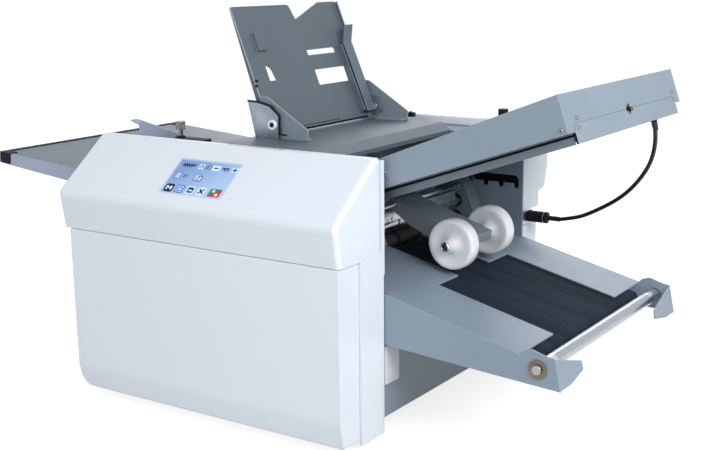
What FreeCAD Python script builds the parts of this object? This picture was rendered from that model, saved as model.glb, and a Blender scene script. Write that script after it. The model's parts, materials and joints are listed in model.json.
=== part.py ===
import FreeCAD, Part
import math
import os
from FreeCAD import Vector

# A desktop friction-feed paper folding machine, in millimetres.
# +X is the way the paper runs, +Z is up, and the operator stands on the -Y side.
# The solids are built about the paper's centre plane (y = 0) and moved at export,
# so that the origin lies on the table under the middle of the machine.

# ---------- side frames and base ----------
FOOT_HEIGHT = 21.0
FOOT_RADIUS = 17.0
FOOT_X = 185.0
FOOT_Y = 165.0
BASE_SHEET = 3.0
BASE_HALF_X = 216.0
BASE_HALF_Y = 196.0
BASE_FLANGE = 17.0
STAND_HOLE_RADIUS = 3.5
STAND_HOLE_X = 140.0
STAND_HOLE_Y = 150.0
FRAME_Y = 187.0            # inner face of each side frame
FRAME_SHEET = 3.0
FRAME_LEFT = -222.0
FRAME_RIGHT = 230.3
NEAR_FRAME_RIGHT = 219.0
FRAME_TOP = 350.0
FRAME_RISER_X = -78.0
FRAME_FRONT_X = 152.0
FRAME_FRONT_Z = 316.0
TIE_RADIUS = 7.0
TIE_INSET = 16.0
TIE_PLACES = [(TIE_INSET - BASE_HALF_X, 60.0), (BASE_HALF_X - TIE_INSET, 60.0),
              (TIE_INSET - BASE_HALF_X, 235.0), (BASE_HALF_X - TIE_INSET - 10.0, 135.0)]
SCREW_HEAD_RADIUS = 6.0
SCREW_HEAD = 4.5

# ---------- white covers ----------
COVER_WALL = 3.5
COVER_INNER_Y = 197.0
COVER_TOP_Z = 363.9
COVER_LEFT = -236.0
COVER_RIGHT = 227.0
COVER_FOOT_Z = 8.0
CONSOLE_BOTTOM_Z = 243.2
CONSOLE_FACE_Y = 289.5
CONSOLE_CREST_Y = 297.8
CONSOLE_CREST_Z = 295.3
CONSOLE_SLOPE_TOP_Y = 210.1
CONSOLE_END_ROUND = 7.0
CHEEK_FRONT_Y = 245.0
COVER_LIP = 5.8            # the covers' right-hand walls fold in towards the frames
CHEEK_LIP = 3.8
CHEEK_LIP_Z = 216.0
REAR_BOTTOM_Z = 228.0
REAR_FOOT_Y = 248.3
REAR_CREST_Y = 279.0
REAR_CREST_Z = 303.0
REAR_SLOPE_TOP_Y = 204.0
REAR_PANEL_Y = 247.5
REAR_PANEL_TOP_Z = 205.0
REAR_PANEL_FOOT_Z = 12.0
REAR_WALL = 3.0
VENT_COUNT = 9
VENT_PITCH = 14.0
VENT_SLOT = 5.0
VENT_LENGTH = 60.0
VENT_X = 60.0
VENT_Z = 150.0

# ---------- front door ----------
DOOR_HALF_WIDTH = 224.0
DOOR_FOOT_Z = 12.0
DOOR_TOP_Z = 242.3
DOOR_DRAFT = 9.1
DOOR_BACK_Y = 245.5
DOOR_WALL = 3.0
DOOR_CORNER = 22.0
DOOR_BAND = 34.0
HINGE_X = -219.5
HINGE_Y = -250.0
HINGE_PIN_RADIUS = 3.0
HINGE_BOSS_RADIUS = 7.0

# ---------- touchscreen ----------
SCREEN_WIDTH = 104.0
SCREEN_HEIGHT = 61.5
SCREEN_CENTRE_X = -11.0
SCREEN_UP_SLOPE = 50.7     # middle of the screen, measured up the slope from the crest
SCREEN_CORNER = 4.0
LENS_THICKNESS = 2.4
MODULE_DEPTH = 16.0
MODULE_MARGIN = 7.0

# ---------- infeed ----------
TABLE_END_X = -467.5
TABLE_END_Z = 316.7
TABLE_ANGLE = 4.4
TABLE_LENGTH = 388.5
TABLE_TONGUE = 17.0
TABLE_TONGUE_INSET = 10.2
TABLE_HALF_WIDTH = 196.2
TABLE_SHEET = 2.0
TABLE_SKIRT_END = 17.0
TABLE_SKIRT_INNER = 27.0
CAP_LENGTH = 20.0
CAP_WALL = 2.0
CAP_DEPTH = 15.5
GUIDE_Y = 108.0            # half the width of an 8.5 inch sheet
GUIDE_SHEET = 1.6
GUIDE_START_X = -258.0
FAR_GUIDE_START_X = -195.0
GUIDE_END_X = -120.0
GUIDE_EAR = 12.0           # pointed ear at the near guide's upper outer corner
GUIDE_FLARE = 6.0
GUIDE_HIGH_Z = 371.0
GUIDE_LOW_Z = 343.0
GUIDE_FOOT = 30.0
GUIDE_LIFT = 0.4
GUIDE_SCREW_X = -166.0
GUIDE_SCREW_OUT = 13.0
GUIDE_TRAVEL_IN = 48.0
GUIDE_TRAVEL_OUT = 40.0
GUIDE_POST_RADIUS = 6.0
GUIDE_POST_TOP = 340.0
THUMB_RADIUS = 7.0
THUMB_HEIGHT = 12.0
THUMB_TOP = 375.5
THUMB_STEM = 3.5
THREAD_RADIUS = 3.0
FEED_X = -45.0
FEED_Z = 305.5
FEED_TYRE_RADIUS = 22.0
FEED_TYRE_HALF = 24.0
FEED_SHAFT_RADIUS = 6.0
SEPARATOR_HALF_X = 13.0
SEPARATOR_HALF_Y = 20.0
SEPARATOR_BAR_Z = 252.0

# ---------- fold rollers ----------
ROLLER_RADIUS = 20.0
ROLLER_PITCH = 41.0        # distance between neighbouring roller axes
ROLLER_HALF = 180.0
JOURNAL_RADIUS = 8.0
NIP_X = 20.0
NIP_Z = 263.0
GEAR_TEETH = 24
GEAR_FACE = 5.5
GEAR_OUT = 191.0           # inner face of the gears, outside the rear frame
GEAR_ADDENDUM = 1.45
GEAR_DEDENDUM = 1.95
BUSH_WALL = 3.0
BUSH_FLANGE = 1.2
RUNNING = 0.05             # radial clearance of every shaft in its bore
SHAFT_STUB = 194.0

# ---------- exit ----------
EXIT_X = 118.0
EXIT_RADIUS = 12.5
EXIT_PITCH = 26.0
EXIT_SHAFT_RADIUS = 5.0
EXIT_BAND_HALF = 26.0
EXIT_BANDS = [-118.0, -28.0, 28.0, 118.0]
EXIT_BAR_X = 136.0
EXIT_BAR_WIDTH = 25.0
EXIT_BAR_THICK = 2.0
EXIT_BAR_TOP = 259.0
EXIT_BAR_FOOT = 244.0
EXIT_BAR_HALF = 151.0
EXIT_PIN_RADIUS = 3.0
STRIP_SHEET = 1.6
STRIP_INNER_Y = 118.0
STRIP_OUTER_Y = 148.0
EXIT_SHEET_INNER_Y = 33.0
EXIT_SHEET_FOOT = 274.0

# ---------- tray on the top cover ----------
TOP_COVER_Z = 364.0
TOP_COVER_LEFT = -27.0
TOP_COVER_RIDGE = 123.0
TOP_COVER_LIP_X = 138.0
TOP_COVER_LIP_Z = 353.5
TOP_COVER_FAR = 131.0
TOP_COVER_SHEET = 2.0
TOP_COVER_HALF = 195.5
COVER_PIN_X = -20.5
COVER_PIN_Z = 341.0
COVER_PIN_RADIUS = 3.0
EAR_Y = 180.0
EAR_SHEET = 3.0
TRAY_LEAN = 21.85
TRAY_BOTTOM_X = 4.3
TRAY_BOTTOM_Z = 367.6
TRAY_LENGTH = 184.0
TRAY_HALF_WIDTH = 124.5
TRAY_SHEET = 2.0
TRAY_FLANGE = 9.0
TRAY_PIVOT_X = 12.7
TRAY_PIVOT_Z = 383.0
TRAY_PIVOT_RADIUS = 3.5
GUSSET_Y = 126.0
GUSSET_SHEET = 2.0
PIVOT_BRACKET_Y = 132.0
TRAY_FAR_FLANGE = 5.5
TRAY_GUIDE_Y = 94.6
TRAY_GUIDE_WIDTH = 25.4
TRAY_GUIDE_LENGTH = 114.0
TRAY_GUIDE_SHEET = 1.6

# ---------- upper fold plate ----------
FOLD_ANGLE = 19.2
FOLD_END_X = 449.2         # top corner of the outer end
FOLD_END_Z = 451.2
FOLD_LENGTH = 398.0
FOLD_HALF_WIDTH = 182.8
FOLD_INNER_HALF = 163.4
FOLD_SIDE_DEPTH = 45.7
FOLD_SEAM = 36.5
FOLD_DEPTH = 59.8
FOLD_WEDGE = 2.0           # extra slope of the top skin, degrees
FOLD_SHEET = 2.0
STOP_REST = 53.0 - FOLD_LENGTH
STOP_TRAVEL = 230.0
STOP_HALF = 150.0
SCREW_RADIUS = 4.0
LEAD = 12.0                # travel of the stop per turn of its screw
STOP_MOTOR = 28.0
KNOB_X = 193.0
KNOB_Y = 193.0
KNOB_RADIUS = 7.5
KNOB_TOP = 381.0
KNOB_STEM_RADIUS = 2.5
KNOB_LUG_Z = 318.0
KNOB_LUG_HEIGHT = 12.0

# ---------- lower fold plate ----------
LOWER_ANGLE = 22.0
LOWER_MOUTH_X = 37.5
LOWER_MOUTH_Z = 212.0
LOWER_LENGTH = 404.0
LOWER_HALF_WIDTH = 163.0
LOWER_DEPTH = 36.0

# ---------- drive ----------
MOTOR_X = -40.0
MOTOR_Z = 66.0
MOTOR_RADIUS = 40.0
MOTOR_LENGTH = 130.0
MOTOR_SHAFT_RADIUS = 6.0
MOTOR_PULLEY_RADIUS = 15.0
ROLLER_PULLEY_RADIUS = 24.0
PULLEY_Y = -191.5
PULLEY_FACE = 4.6
BELT_THICKNESS = 1.4

# ---------- outfeed conveyor ----------
CONVEYOR_Y = 190.0         # inner face of the conveyor's side plates
CONVEYOR_SHEET = 2.0
CONVEYOR_SLOPE = 13.55
CONVEYOR_TOP_X = 224.1
CONVEYOR_TOP_Z = 192.2
CONVEYOR_START_X = 152.0
CONVEYOR_FLANGE_X = 231.0
CONVEYOR_FLANGE_END = 414.6
CONVEYOR_FLANGE_WIDTH = 93.0
CONVEYOR_TONGUE_START = 140.0
CONVEYOR_TONGUE_END = 250.0
CONVEYOR_TONGUE_Y = 44.0
CONVEYOR_BELT_DROP = 3.0
CONVEYOR_BELT_HALF = 154.0
CONVEYOR_BELT = 2.0
DRIVE_X = 165.0
DRIVE_RADIUS = 12.0
NOSE_X = 421.0
NOSE_RADIUS = 6.0
END_ROLLER_X = 438.0
END_ROLLER_Z = 131.5
END_ROLLER_RADIUS = 9.0
END_SHAFT_RADIUS = 6.0
PANEL_SHEET = 2.0
PANEL_FOOT_Z = 34.0
PANEL_TOP_Z = 152.0
INFEED_PANEL_FOOT_Z = 158.0
INFEED_PANEL_TOP_Z = 262.0

# ---------- stacker wheels ----------
ROD_X = 142.3
ROD_Z = 268.1
ROD_RADIUS = 4.0
NOTCH_PITCH = 25.7
NOTCH_COUNT = 4
NEAR_NOTCH_COUNT = 3
NOTCH_HALF = 4.5
NOTCH_DEPTH = 7.3
SLOT_TOP = 283.6
SLOT_CORNER = 8.0
ARM_HALF = 29.0
ARM_SHEET = 1.6
ARM_TOP_START = Vector(136.5, 0, 275.6)
ARM_TOP_END = Vector(262.3, 0, 234.9)
AXLE_X = 246.9
AXLE_Z = 230.2
AXLE_RADIUS = 4.0
WHEEL_Y = 51.1
WHEEL_HALF = 10.4          # half the width of the rim
WHEEL_RADIUS = 34.2
HUB_HALF = 21.8

# ---------- cables ----------
CABLE_RADIUS = 2.4
SOCKET_X = 229.5
SOCKET_Y = 210.0
SOCKET_Z = 219.2
SOCKET_RADIUS = 8.2
SOCKET_BORE = 7.2
SOCKET_DEPTH = 8.0
SOCKET_SHEET = 2.0
SOCKET_FACE_FOOT = 208.8
SOCKET_FACE_TOP = 227.5
SOCKET_FACE_EDGE = 224.0
PLUG_RADIUS = 8.8
PLUG_NOSE = 6.7
CABLE_ROUTE = [
    (281.5, 210.0, 219.2), (305.9, 209.0, 224.2), (328.8, 204.9, 233.4),
    (371.8, 194.8, 257.8), (402.3, 180.0, 281.8), (431.1, 158.2, 313.9),
    (448.3, 136.3, 342.1), (458.8, 111.3, 375.0), (462.0, 92.0, 392.2)]
LOWER_CABLE_RADIUS = 2.4
LOWER_CABLE_ROUTE = [
    (-334.0, -140.0, 78.0), (-350.0, -141.0, 79.5), (-366.0, -144.0, 85.0),
    (-373.0, -149.0, 97.0), (-367.0, -153.0, 109.5), (-350.0, -155.0, 118.0),
    (-325.0, -156.0, 128.0), (-300.0, -156.5, 145.0), (-278.0, -156.5, 163.0),
    (-256.0, -156.0, 176.0), (-236.0, -156.0, 181.0), (-224.0, -156.0, 182.0)]

# ---------- worked out from the sizes above ----------
FRAME_OUTER = FRAME_Y + FRAME_SHEET
BASE_TOP = FOOT_HEIGHT + BASE_SHEET
CENTRE_SHIFT = (CONSOLE_CREST_Y - REAR_CREST_Y) / 2.0
TABLE_SLOPE = math.tan(math.radians(TABLE_ANGLE))
FOLD_ALONG = Vector(math.cos(math.radians(FOLD_ANGLE)), 0, math.sin(math.radians(FOLD_ANGLE)))
FOLD_UP = Vector(-FOLD_ALONG.z, 0, FOLD_ALONG.x)
NIP = Vector(NIP_X, 0, NIP_Z)
ROLLER_AXES = [NIP + FOLD_UP * (ROLLER_PITCH / 2), NIP - FOLD_UP * (ROLLER_PITCH / 2)]
ROLLER_AXES.append(ROLLER_AXES[1] + Vector(ROLLER_PITCH, 0, 0))
ROLLER_AXES.append(ROLLER_AXES[2] - Vector(0, 0, ROLLER_PITCH))
EXIT_NIP_Z = (ROLLER_AXES[2].z + ROLLER_AXES[3].z) / 2
EXIT_AXES = [Vector(EXIT_X, 0, EXIT_NIP_Z + EXIT_PITCH / 2),
             Vector(EXIT_X, 0, EXIT_NIP_Z - EXIT_PITCH / 2)]
ARM_ANGLE = math.degrees(math.atan2(ROD_Z - AXLE_Z, AXLE_X - ROD_X))
CONVEYOR_DOWN = Vector(math.cos(math.radians(CONVEYOR_SLOPE)), 0,
                       -math.sin(math.radians(CONVEYOR_SLOPE)))
CONVEYOR_UP = Vector(-CONVEYOR_DOWN.z, 0, CONVEYOR_DOWN.x)


def table_z(x):
    """Height of the infeed table's top skin."""
    return TABLE_END_Z - (x - TABLE_END_X) * TABLE_SLOPE


def conveyor_z(x):
    """Height of the conveyor's side flanges."""
    return CONVEYOR_TOP_Z - (x - CONVEYOR_TOP_X) * math.tan(math.radians(CONVEYOR_SLOPE))


def belt_point(x, radius):
    """Axis of a roller that carries the conveyor belt under the belt line at x."""
    line = Vector(x, 0, conveyor_z(x) - CONVEYOR_BELT_DROP)
    return line - CONVEYOR_UP * (radius + CONVEYOR_BELT)


DRIVE_AXIS = belt_point(DRIVE_X, DRIVE_RADIUS)
NOSE_AXIS = belt_point(NOSE_X, NOSE_RADIUS)


# ---------- shape helpers ----------
def box(x0, x1, y0, y1, z0, z1):
    return Part.makeBox(x1 - x0, y1 - y0, z1 - z0, Vector(x0, y0, z0))


def rod_y(axis, radius, y0, y1):
    return Part.makeCylinder(radius, y1 - y0, Vector(axis.x, y0, axis.z), Vector(0, 1, 0))


def rod_z(x, y, radius, z0, z1):
    return Part.makeCylinder(radius, z1 - z0, Vector(x, y, z0), Vector(0, 0, 1))


def rounded_wire(points, place):
    """A closed wire through (a, b) or (a, b, corner radius), put in space by place."""
    corners = []
    count = len(points)
    for index, point in enumerate(points):
        here = Vector(point[0], point[1], 0)
        radius = point[2] if len(point) > 2 else 0.0
        before = Vector(points[index - 1][0], points[index - 1][1], 0) - here
        after_point = points[(index + 1) % count]
        after = Vector(after_point[0], after_point[1], 0) - here
        if radius <= 0:
            corners.append((here, None, here))
            continue
        turn = before.getAngle(after)
        reach = radius / math.tan(turn / 2)
        before.normalize()
        after.normalize()
        middle = before + after
        middle.normalize()
        centre = here + middle * (radius / math.sin(turn / 2))
        corners.append((here + before * reach, centre - middle * radius, here + after * reach))
    edges = []
    for index, (start, middle, end) in enumerate(corners):
        if middle is not None:
            arc = Part.Arc(place(start.x, start.y), place(middle.x, middle.y), place(end.x, end.y))
            edges.append(arc.toShape())
        following = corners[(index + 1) % count][0]
        if (following - end).Length > 1e-6:
            edges.append(Part.LineSegment(place(end.x, end.y),
                                          place(following.x, following.y)).toShape())
    return Part.Wire(edges)


def prism_y(points, y0, y1):
    """Extrude an outline of (x, z) points from y0 to y1."""
    wire = rounded_wire(points, lambda a, b: Vector(a, y0, b))
    return Part.Face(wire).extrude(Vector(0, y1 - y0, 0))


def prism_x(points, x0, x1):
    """Extrude an outline of (y, z) points from x0 to x1."""
    wire = rounded_wire(points, lambda a, b: Vector(x0, a, b))
    return Part.Face(wire).extrude(Vector(x1 - x0, 0, 0))


def prism_z(points, z0, z1):
    """Extrude an outline of (x, y) points from z0 to z1."""
    wire = rounded_wire(points, lambda a, b: Vector(a, b, z0))
    return Part.Face(wire).extrude(Vector(0, 0, z1 - z0))


def mirrored(shape):
    """The same shape on the other side of the paper's centre plane."""
    return shape.mirror(Vector(0, 0, 0), Vector(0, 1, 0))


def tilted(shape, angle, corner):
    """Move a shape built at the origin: raise its +X end by angle, then put it at corner."""
    moved = shape.copy()
    moved.rotate(Vector(0, 0, 0), Vector(0, 1, 0), -angle)
    moved.translate(corner)
    return moved


def fold_placed(shape):
    """Place a piece of the upper fold plate: x is 0 at the outer end, z is 0 at its top."""
    return tilted(shape, FOLD_ANGLE, Vector(FOLD_END_X, 0, FOLD_END_Z))


def fold_point(along, up):
    return Vector(FOLD_END_X, 0, FOLD_END_Z) + FOLD_ALONG * along + FOLD_UP * up


def joined(shapes):
    result = shapes[0].multiFuse(shapes[1:]) if len(shapes) > 1 else shapes[0]
    return result.removeSplitter()


def loop_outline(first, first_radius, second, second_radius):
    """Outer tangent points and arc middles of a belt round two pulleys, in X and Z."""
    line = second - first
    length = line.Length
    along = Vector(line)
    along.normalize()
    side = Vector(-along.z, 0, along.x)
    sine = (first_radius - second_radius) / length
    cosine = math.sqrt(1 - sine * sine)
    upper = along * sine + side * cosine
    lower = along * sine - side * cosine
    return [first + upper * first_radius, second + upper * second_radius,
            second + along * second_radius, second + lower * second_radius,
            first + lower * first_radius, first - along * first_radius]


def loop_solid(first, first_radius, second, second_radius, y0, y1):
    p = loop_outline(first, first_radius, second, second_radius)
    p = [Vector(q.x, y0, q.z) for q in p]
    edges = [Part.LineSegment(p[0], p[1]).toShape(), Part.Arc(p[1], p[2], p[3]).toShape(),
             Part.LineSegment(p[3], p[4]).toShape(), Part.Arc(p[4], p[5], p[0]).toShape()]
    return Part.Face(Part.Wire(edges)).extrude(Vector(0, y1 - y0, 0))


def belt(first, first_radius, second, second_radius, thickness, y0, y1):
    clear = 0.3
    outer = loop_solid(first, first_radius + clear + thickness,
                       second, second_radius + clear + thickness, y0, y1)
    inner = loop_solid(first, first_radius + clear, second, second_radius + clear, y0 - 1, y1 + 1)
    return outer.cut(inner)


# ---------- frames and base ----------
def base_plate():
    floor = box(-BASE_HALF_X, BASE_HALF_X, -BASE_HALF_Y, BASE_HALF_Y, FOOT_HEIGHT, BASE_TOP)
    flanges = [box(side * BASE_HALF_X - (BASE_SHEET if side > 0 else 0),
                   side * BASE_HALF_X + (0 if side > 0 else BASE_SHEET),
                   -FRAME_Y, FRAME_Y, FOOT_HEIGHT, BASE_TOP + BASE_FLANGE) for side in (-1, 1)]
    plate = joined([floor] + flanges)
    for x in (-STAND_HOLE_X, STAND_HOLE_X):
        for y in (-STAND_HOLE_Y, STAND_HOLE_Y):
            plate = plate.cut(rod_z(x, y, STAND_HOLE_RADIUS, 0, BASE_TOP + 1))
    return [plate]


def rubber_feet():
    feet = []
    for x in (-FOOT_X, FOOT_X):
        for y in (-FOOT_Y, FOOT_Y):
            feet.append(Part.makeCone(FOOT_RADIUS - 3, FOOT_RADIUS, FOOT_HEIGHT, Vector(x, y, 0)))
    return feet


def shaft_bores():
    """Every shaft that the side frames carry: axis and radius."""
    bores = [(axis, JOURNAL_RADIUS) for axis in ROLLER_AXES]
    bores += [(axis, EXIT_SHAFT_RADIUS) for axis in EXIT_AXES]
    bores += [(Vector(FEED_X, 0, FEED_Z), FEED_SHAFT_RADIUS), (DRIVE_AXIS, FEED_SHAFT_RADIUS)]
    return bores


def notched_slot(y0, y1, count):
    """Rack that sets how far out the stacker wheels hang: a slot with a row of notches."""
    first = ROD_X
    last = ROD_X + (count - 1) * NOTCH_PITCH
    notch_z = ROD_Z - 0.2
    shelf = notch_z - ROD_RADIUS + NOTCH_DEPTH
    slot = prism_y([(first - NOTCH_HALF, shelf), (last + NOTCH_HALF, shelf),
                    (last + NOTCH_HALF, SLOT_TOP, SLOT_CORNER),
                    (first - NOTCH_HALF, SLOT_TOP, SLOT_CORNER)], y0, y1)
    cuts = [slot]
    for index in range(count):
        x = ROD_X + index * NOTCH_PITCH
        bottom = Vector(x, 0, notch_z - ROD_RADIUS + NOTCH_HALF)
        cuts.append(rod_y(bottom, NOTCH_HALF, y0, y1))
        cuts.append(box(x - NOTCH_HALF, x + NOTCH_HALF, y0, y1, bottom.z, shelf + 1))
    return joined(cuts)


def side_frame(right, notch_count):
    """One side frame on the far side, ending at right, with its bores and its notched slot."""
    under_table = TABLE_SHEET / math.cos(math.radians(TABLE_ANGLE))
    plate = prism_y([
        (FRAME_LEFT, BASE_TOP), (right, BASE_TOP), (right, FRAME_FRONT_Z),
        (FRAME_FRONT_X + 30, FRAME_TOP - 6, 12), (FRAME_FRONT_X, FRAME_TOP, 12),
        (FRAME_RISER_X, FRAME_TOP, 10),
        (FRAME_RISER_X, table_z(FRAME_RISER_X) - under_table),
        (FRAME_LEFT, table_z(FRAME_LEFT) - under_table)], FRAME_Y, FRAME_OUTER)
    for axis, radius in shaft_bores():
        plate = plate.cut(rod_y(axis, radius + RUNNING + BUSH_WALL, FRAME_Y - 1, FRAME_OUTER + 1))
    for x, z in tie_places():
        plate = plate.cut(rod_y(Vector(x, 0, z), 3.0, FRAME_Y - 1, FRAME_OUTER + 1))
    plate = plate.cut(notched_slot(FRAME_Y - 1, FRAME_OUTER + 1, notch_count))
    pin = Vector(COVER_PIN_X, 0, COVER_PIN_Z)
    return plate.cut(rod_y(pin, COVER_PIN_RADIUS, FRAME_Y - 1, FRAME_OUTER + 1))


def far_side_frame():
    return [joined([side_frame(FRAME_RIGHT, NOTCH_COUNT), knob_bracket()])]


def near_side_frame():
    plate = mirrored(side_frame(NEAR_FRAME_RIGHT, NEAR_NOTCH_COUNT))
    shaft = Vector(MOTOR_X, 0, MOTOR_Z)
    return [plate.cut(rod_y(shaft, MOTOR_SHAFT_RADIUS + 2, -FRAME_OUTER - 1, -FRAME_Y + 1))]


def tie_places():
    return TIE_PLACES + [(FEED_X, SEPARATOR_BAR_Z)]


def tie_bars():
    return [rod_y(Vector(x, 0, z), TIE_RADIUS, -FRAME_Y, FRAME_Y) for x, z in tie_places()]


def frame_screws():
    screws = []
    for x, z in tie_places():
        head = Part.makeCylinder(SCREW_HEAD_RADIUS, SCREW_HEAD, Vector(x, FRAME_OUTER, z),
                                 Vector(0, 1, 0))
        socket = Part.makeCylinder(2.9, 3, Vector(x, FRAME_OUTER + SCREW_HEAD - 2.5, z),
                                   Vector(0, 1, 0))
        shank = rod_y(Vector(x, 0, z), 3.0, FRAME_Y, FRAME_OUTER + 1)
        screw = joined([head.cut(socket), shank])
        screws += [screw, mirrored(screw)]
    return screws + fold_plate_studs()


def bearing_bushes():
    """Flanged bushes of every shaft, pressed into the frames and the conveyor plates."""
    bushes = []
    places = [(axis, radius, FRAME_Y, FRAME_OUTER) for axis, radius in shaft_bores()]
    end = Vector(END_ROLLER_X, 0, END_ROLLER_Z)
    places.append((end, END_SHAFT_RADIUS, CONVEYOR_Y, CONVEYOR_Y + CONVEYOR_SHEET))
    for axis, radius, inner, outer in places:
        ring = rod_y(axis, radius + RUNNING + BUSH_WALL, inner, outer)
        if outer > FRAME_OUTER:
            flange = rod_y(axis, radius + 6.0, outer, outer + BUSH_FLANGE)
        else:
            flange = rod_y(axis, radius + RUNNING + BUSH_WALL + 2, inner - BUSH_FLANGE, inner)
        bush = joined([ring, flange]).cut(rod_y(axis, radius + RUNNING, inner - 5, outer + 5))
        bushes += [bush, mirrored(bush)]
    return bushes


# ---------- white covers ----------
def console_outline(inset):
    """Section of the front console in (y, z); inset moves its walls inwards."""
    face = CONSOLE_FACE_Y - inset
    slope_z = inset / math.cos(math.radians(38.0))
    crest_y = CONSOLE_CREST_Y - inset * 1.02
    crest_z = CONSOLE_CREST_Z - inset * 0.45
    top = COVER_TOP_Z - inset
    slope_top_y = CONSOLE_SLOPE_TOP_Y + (slope_z - inset) * 1.2 - inset * 0.4
    bottom = CONSOLE_BOTTOM_Z - (5.0 if inset else 0.0)
    inner = COVER_INNER_Y + inset
    return [(-face, bottom), (-crest_y, crest_z, 16 - inset), (-slope_top_y, top, 9 - inset),
            (-inner, top, 2.0), (-inner, bottom)]


def slope_frame():
    """Start of the console's slope, the direction up it and its outward normal, in (y, z)."""
    start = Vector(0, -CONSOLE_CREST_Y, CONSOLE_CREST_Z)
    end = Vector(0, -CONSOLE_SLOPE_TOP_Y, COVER_TOP_Z)
    along = end - start
    along.normalize()
    return start, along, Vector(0, -along.z, along.y)


def on_slope(width, height, corner, depth0, depth1):
    """A slab parallel to the console's slope, centred on the screen, between two depths."""
    start, along, normal = slope_frame()
    slab = prism_z([(-width / 2, -height / 2, corner), (width / 2, -height / 2, corner),
                    (width / 2, height / 2, corner), (-width / 2, height / 2, corner)],
                   -depth1, -depth0)
    slab.rotate(Vector(0, 0, 0), Vector(1, 0, 0), math.degrees(math.atan2(along.z, along.y)))
    slab.translate(start + along * SCREEN_UP_SLOPE + Vector(SCREEN_CENTRE_X, 0, 0))
    return slab


def front_console():
    outer = prism_x(console_outline(0.0), COVER_LEFT, COVER_RIGHT)
    ends = [e for e in outer.Edges
            if abs(e.BoundBox.XLength) < 1e-6 and e.BoundBox.ZMin > CONSOLE_BOTTOM_Z + 1
            and e.BoundBox.YMin < -CONSOLE_SLOPE_TOP_Y - 3 and e.BoundBox.YMax < -COVER_INNER_Y - 5]
    outer = rounded(outer, ends, CONSOLE_END_ROUND)
    inner = prism_x(console_outline(COVER_WALL), COVER_LEFT + COVER_WALL, COVER_RIGHT - COVER_WALL)
    shell = outer.cut(inner)
    pieces = [shell]
    for x0, x1 in ((COVER_LEFT, COVER_LEFT + COVER_WALL), (COVER_RIGHT - COVER_WALL, COVER_RIGHT)):
        pieces.append(box(x0, x1, -CHEEK_FRONT_Y, -COVER_INNER_Y, COVER_FOOT_Z,
                          CONSOLE_BOTTOM_Z + COVER_WALL))
    for lip, z0, z1 in ((CHEEK_LIP, COVER_FOOT_Z, CHEEK_LIP_Z),
                        (COVER_LIP, CHEEK_LIP_Z, COVER_TOP_Z - COVER_WALL)):
        pieces.append(box(COVER_RIGHT - COVER_WALL, COVER_RIGHT, -COVER_INNER_Y - 1,
                          -COVER_INNER_Y + lip, z0, z1))
    for x in (-190.0, 190.0):
        boss = box(x - 6, x + 6, -COVER_INNER_Y - 2, -FRAME_OUTER, CONSOLE_BOTTOM_Z + 4,
                   CONSOLE_BOTTOM_Z + 16)
        pieces.append(boss)
    for x, z in ((COVER_RIGHT - COVER_WALL - 12, 60.0), (COVER_RIGHT - COVER_WALL - 12, 206.0),
                 (COVER_LEFT + COVER_WALL, 60.0), (COVER_LEFT + COVER_WALL, 190.0)):
        pieces.append(box(x, x + 12, -COVER_INNER_Y - 6, -COVER_INNER_Y, z, z + 14))
        reach = x + 2 if x > 0 else x + 12
        pieces.append(box(min(reach, x), max(reach, x) + 8, -COVER_INNER_Y - 3, -FRAME_OUTER,
                          z + 2, z + 12))
    upper_boss = rod_z(HINGE_X, HINGE_Y, HINGE_BOSS_RADIUS, CONSOLE_BOTTOM_Z, CONSOLE_BOTTOM_Z + 16)
    upper_arm = box(COVER_LEFT + 1, HINGE_X, HINGE_Y - 3, HINGE_Y + 3, CONSOLE_BOTTOM_Z,
                    CONSOLE_BOTTOM_Z + 14)
    lug = box(COVER_LEFT, HINGE_X + 6, HINGE_Y - 6, -CHEEK_FRONT_Y + 6, COVER_FOOT_Z,
              DOOR_FOOT_Z - 0.5)
    pieces += [upper_boss, upper_arm, lug]
    console = joined(pieces)
    window = on_slope(SCREEN_WIDTH + 0.8, SCREEN_HEIGHT + 0.8, SCREEN_CORNER, -5, COVER_WALL + 3)
    console = console.cut(window)
    pin = rod_z(HINGE_X, HINGE_Y, HINGE_PIN_RADIUS, COVER_FOOT_Z + 1, DOOR_FOOT_Z)
    pin_top = rod_z(HINGE_X, HINGE_Y, HINGE_PIN_RADIUS, DOOR_TOP_Z, CONSOLE_BOTTOM_Z + 12)
    return [console.cut(pin).cut(pin_top)]


def rounded(shape, edges, radius):
    return shape.makeFillet(radius, edges)


def hinge_pins():
    """Pins of the front door and of the top cover."""
    lower = rod_z(HINGE_X, HINGE_Y, HINGE_PIN_RADIUS, COVER_FOOT_Z + 1, DOOR_FOOT_Z + DOOR_WALL + 4)
    upper = rod_z(HINGE_X, HINGE_Y, HINGE_PIN_RADIUS, DOOR_TOP_Z - DOOR_WALL - 4,
                  CONSOLE_BOTTOM_Z + 12)
    cover = Vector(COVER_PIN_X, 0, COVER_PIN_Z)
    far_pin = rod_y(cover, COVER_PIN_RADIUS, EAR_Y - EAR_SHEET - 2, FRAME_OUTER + 2)
    return [lower, upper, far_pin, mirrored(far_pin)]


def door_outline(inset):
    """Section of the front door in (y, z)."""
    top = DOOR_TOP_Z - inset
    foot = DOOR_FOOT_Z + inset
    face = -CONSOLE_FACE_Y + inset
    band_z = DOOR_FOOT_Z + DOOR_BAND
    foot_y = -CONSOLE_FACE_Y + DOOR_DRAFT + inset
    back = -DOOR_BACK_Y + (2.0 if inset else 0.0)
    return [(back, foot), (foot_y, foot, 7 - inset), (face + 1.6, band_z, 60), (face, top, 2.0),
            (back, top)]


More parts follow.
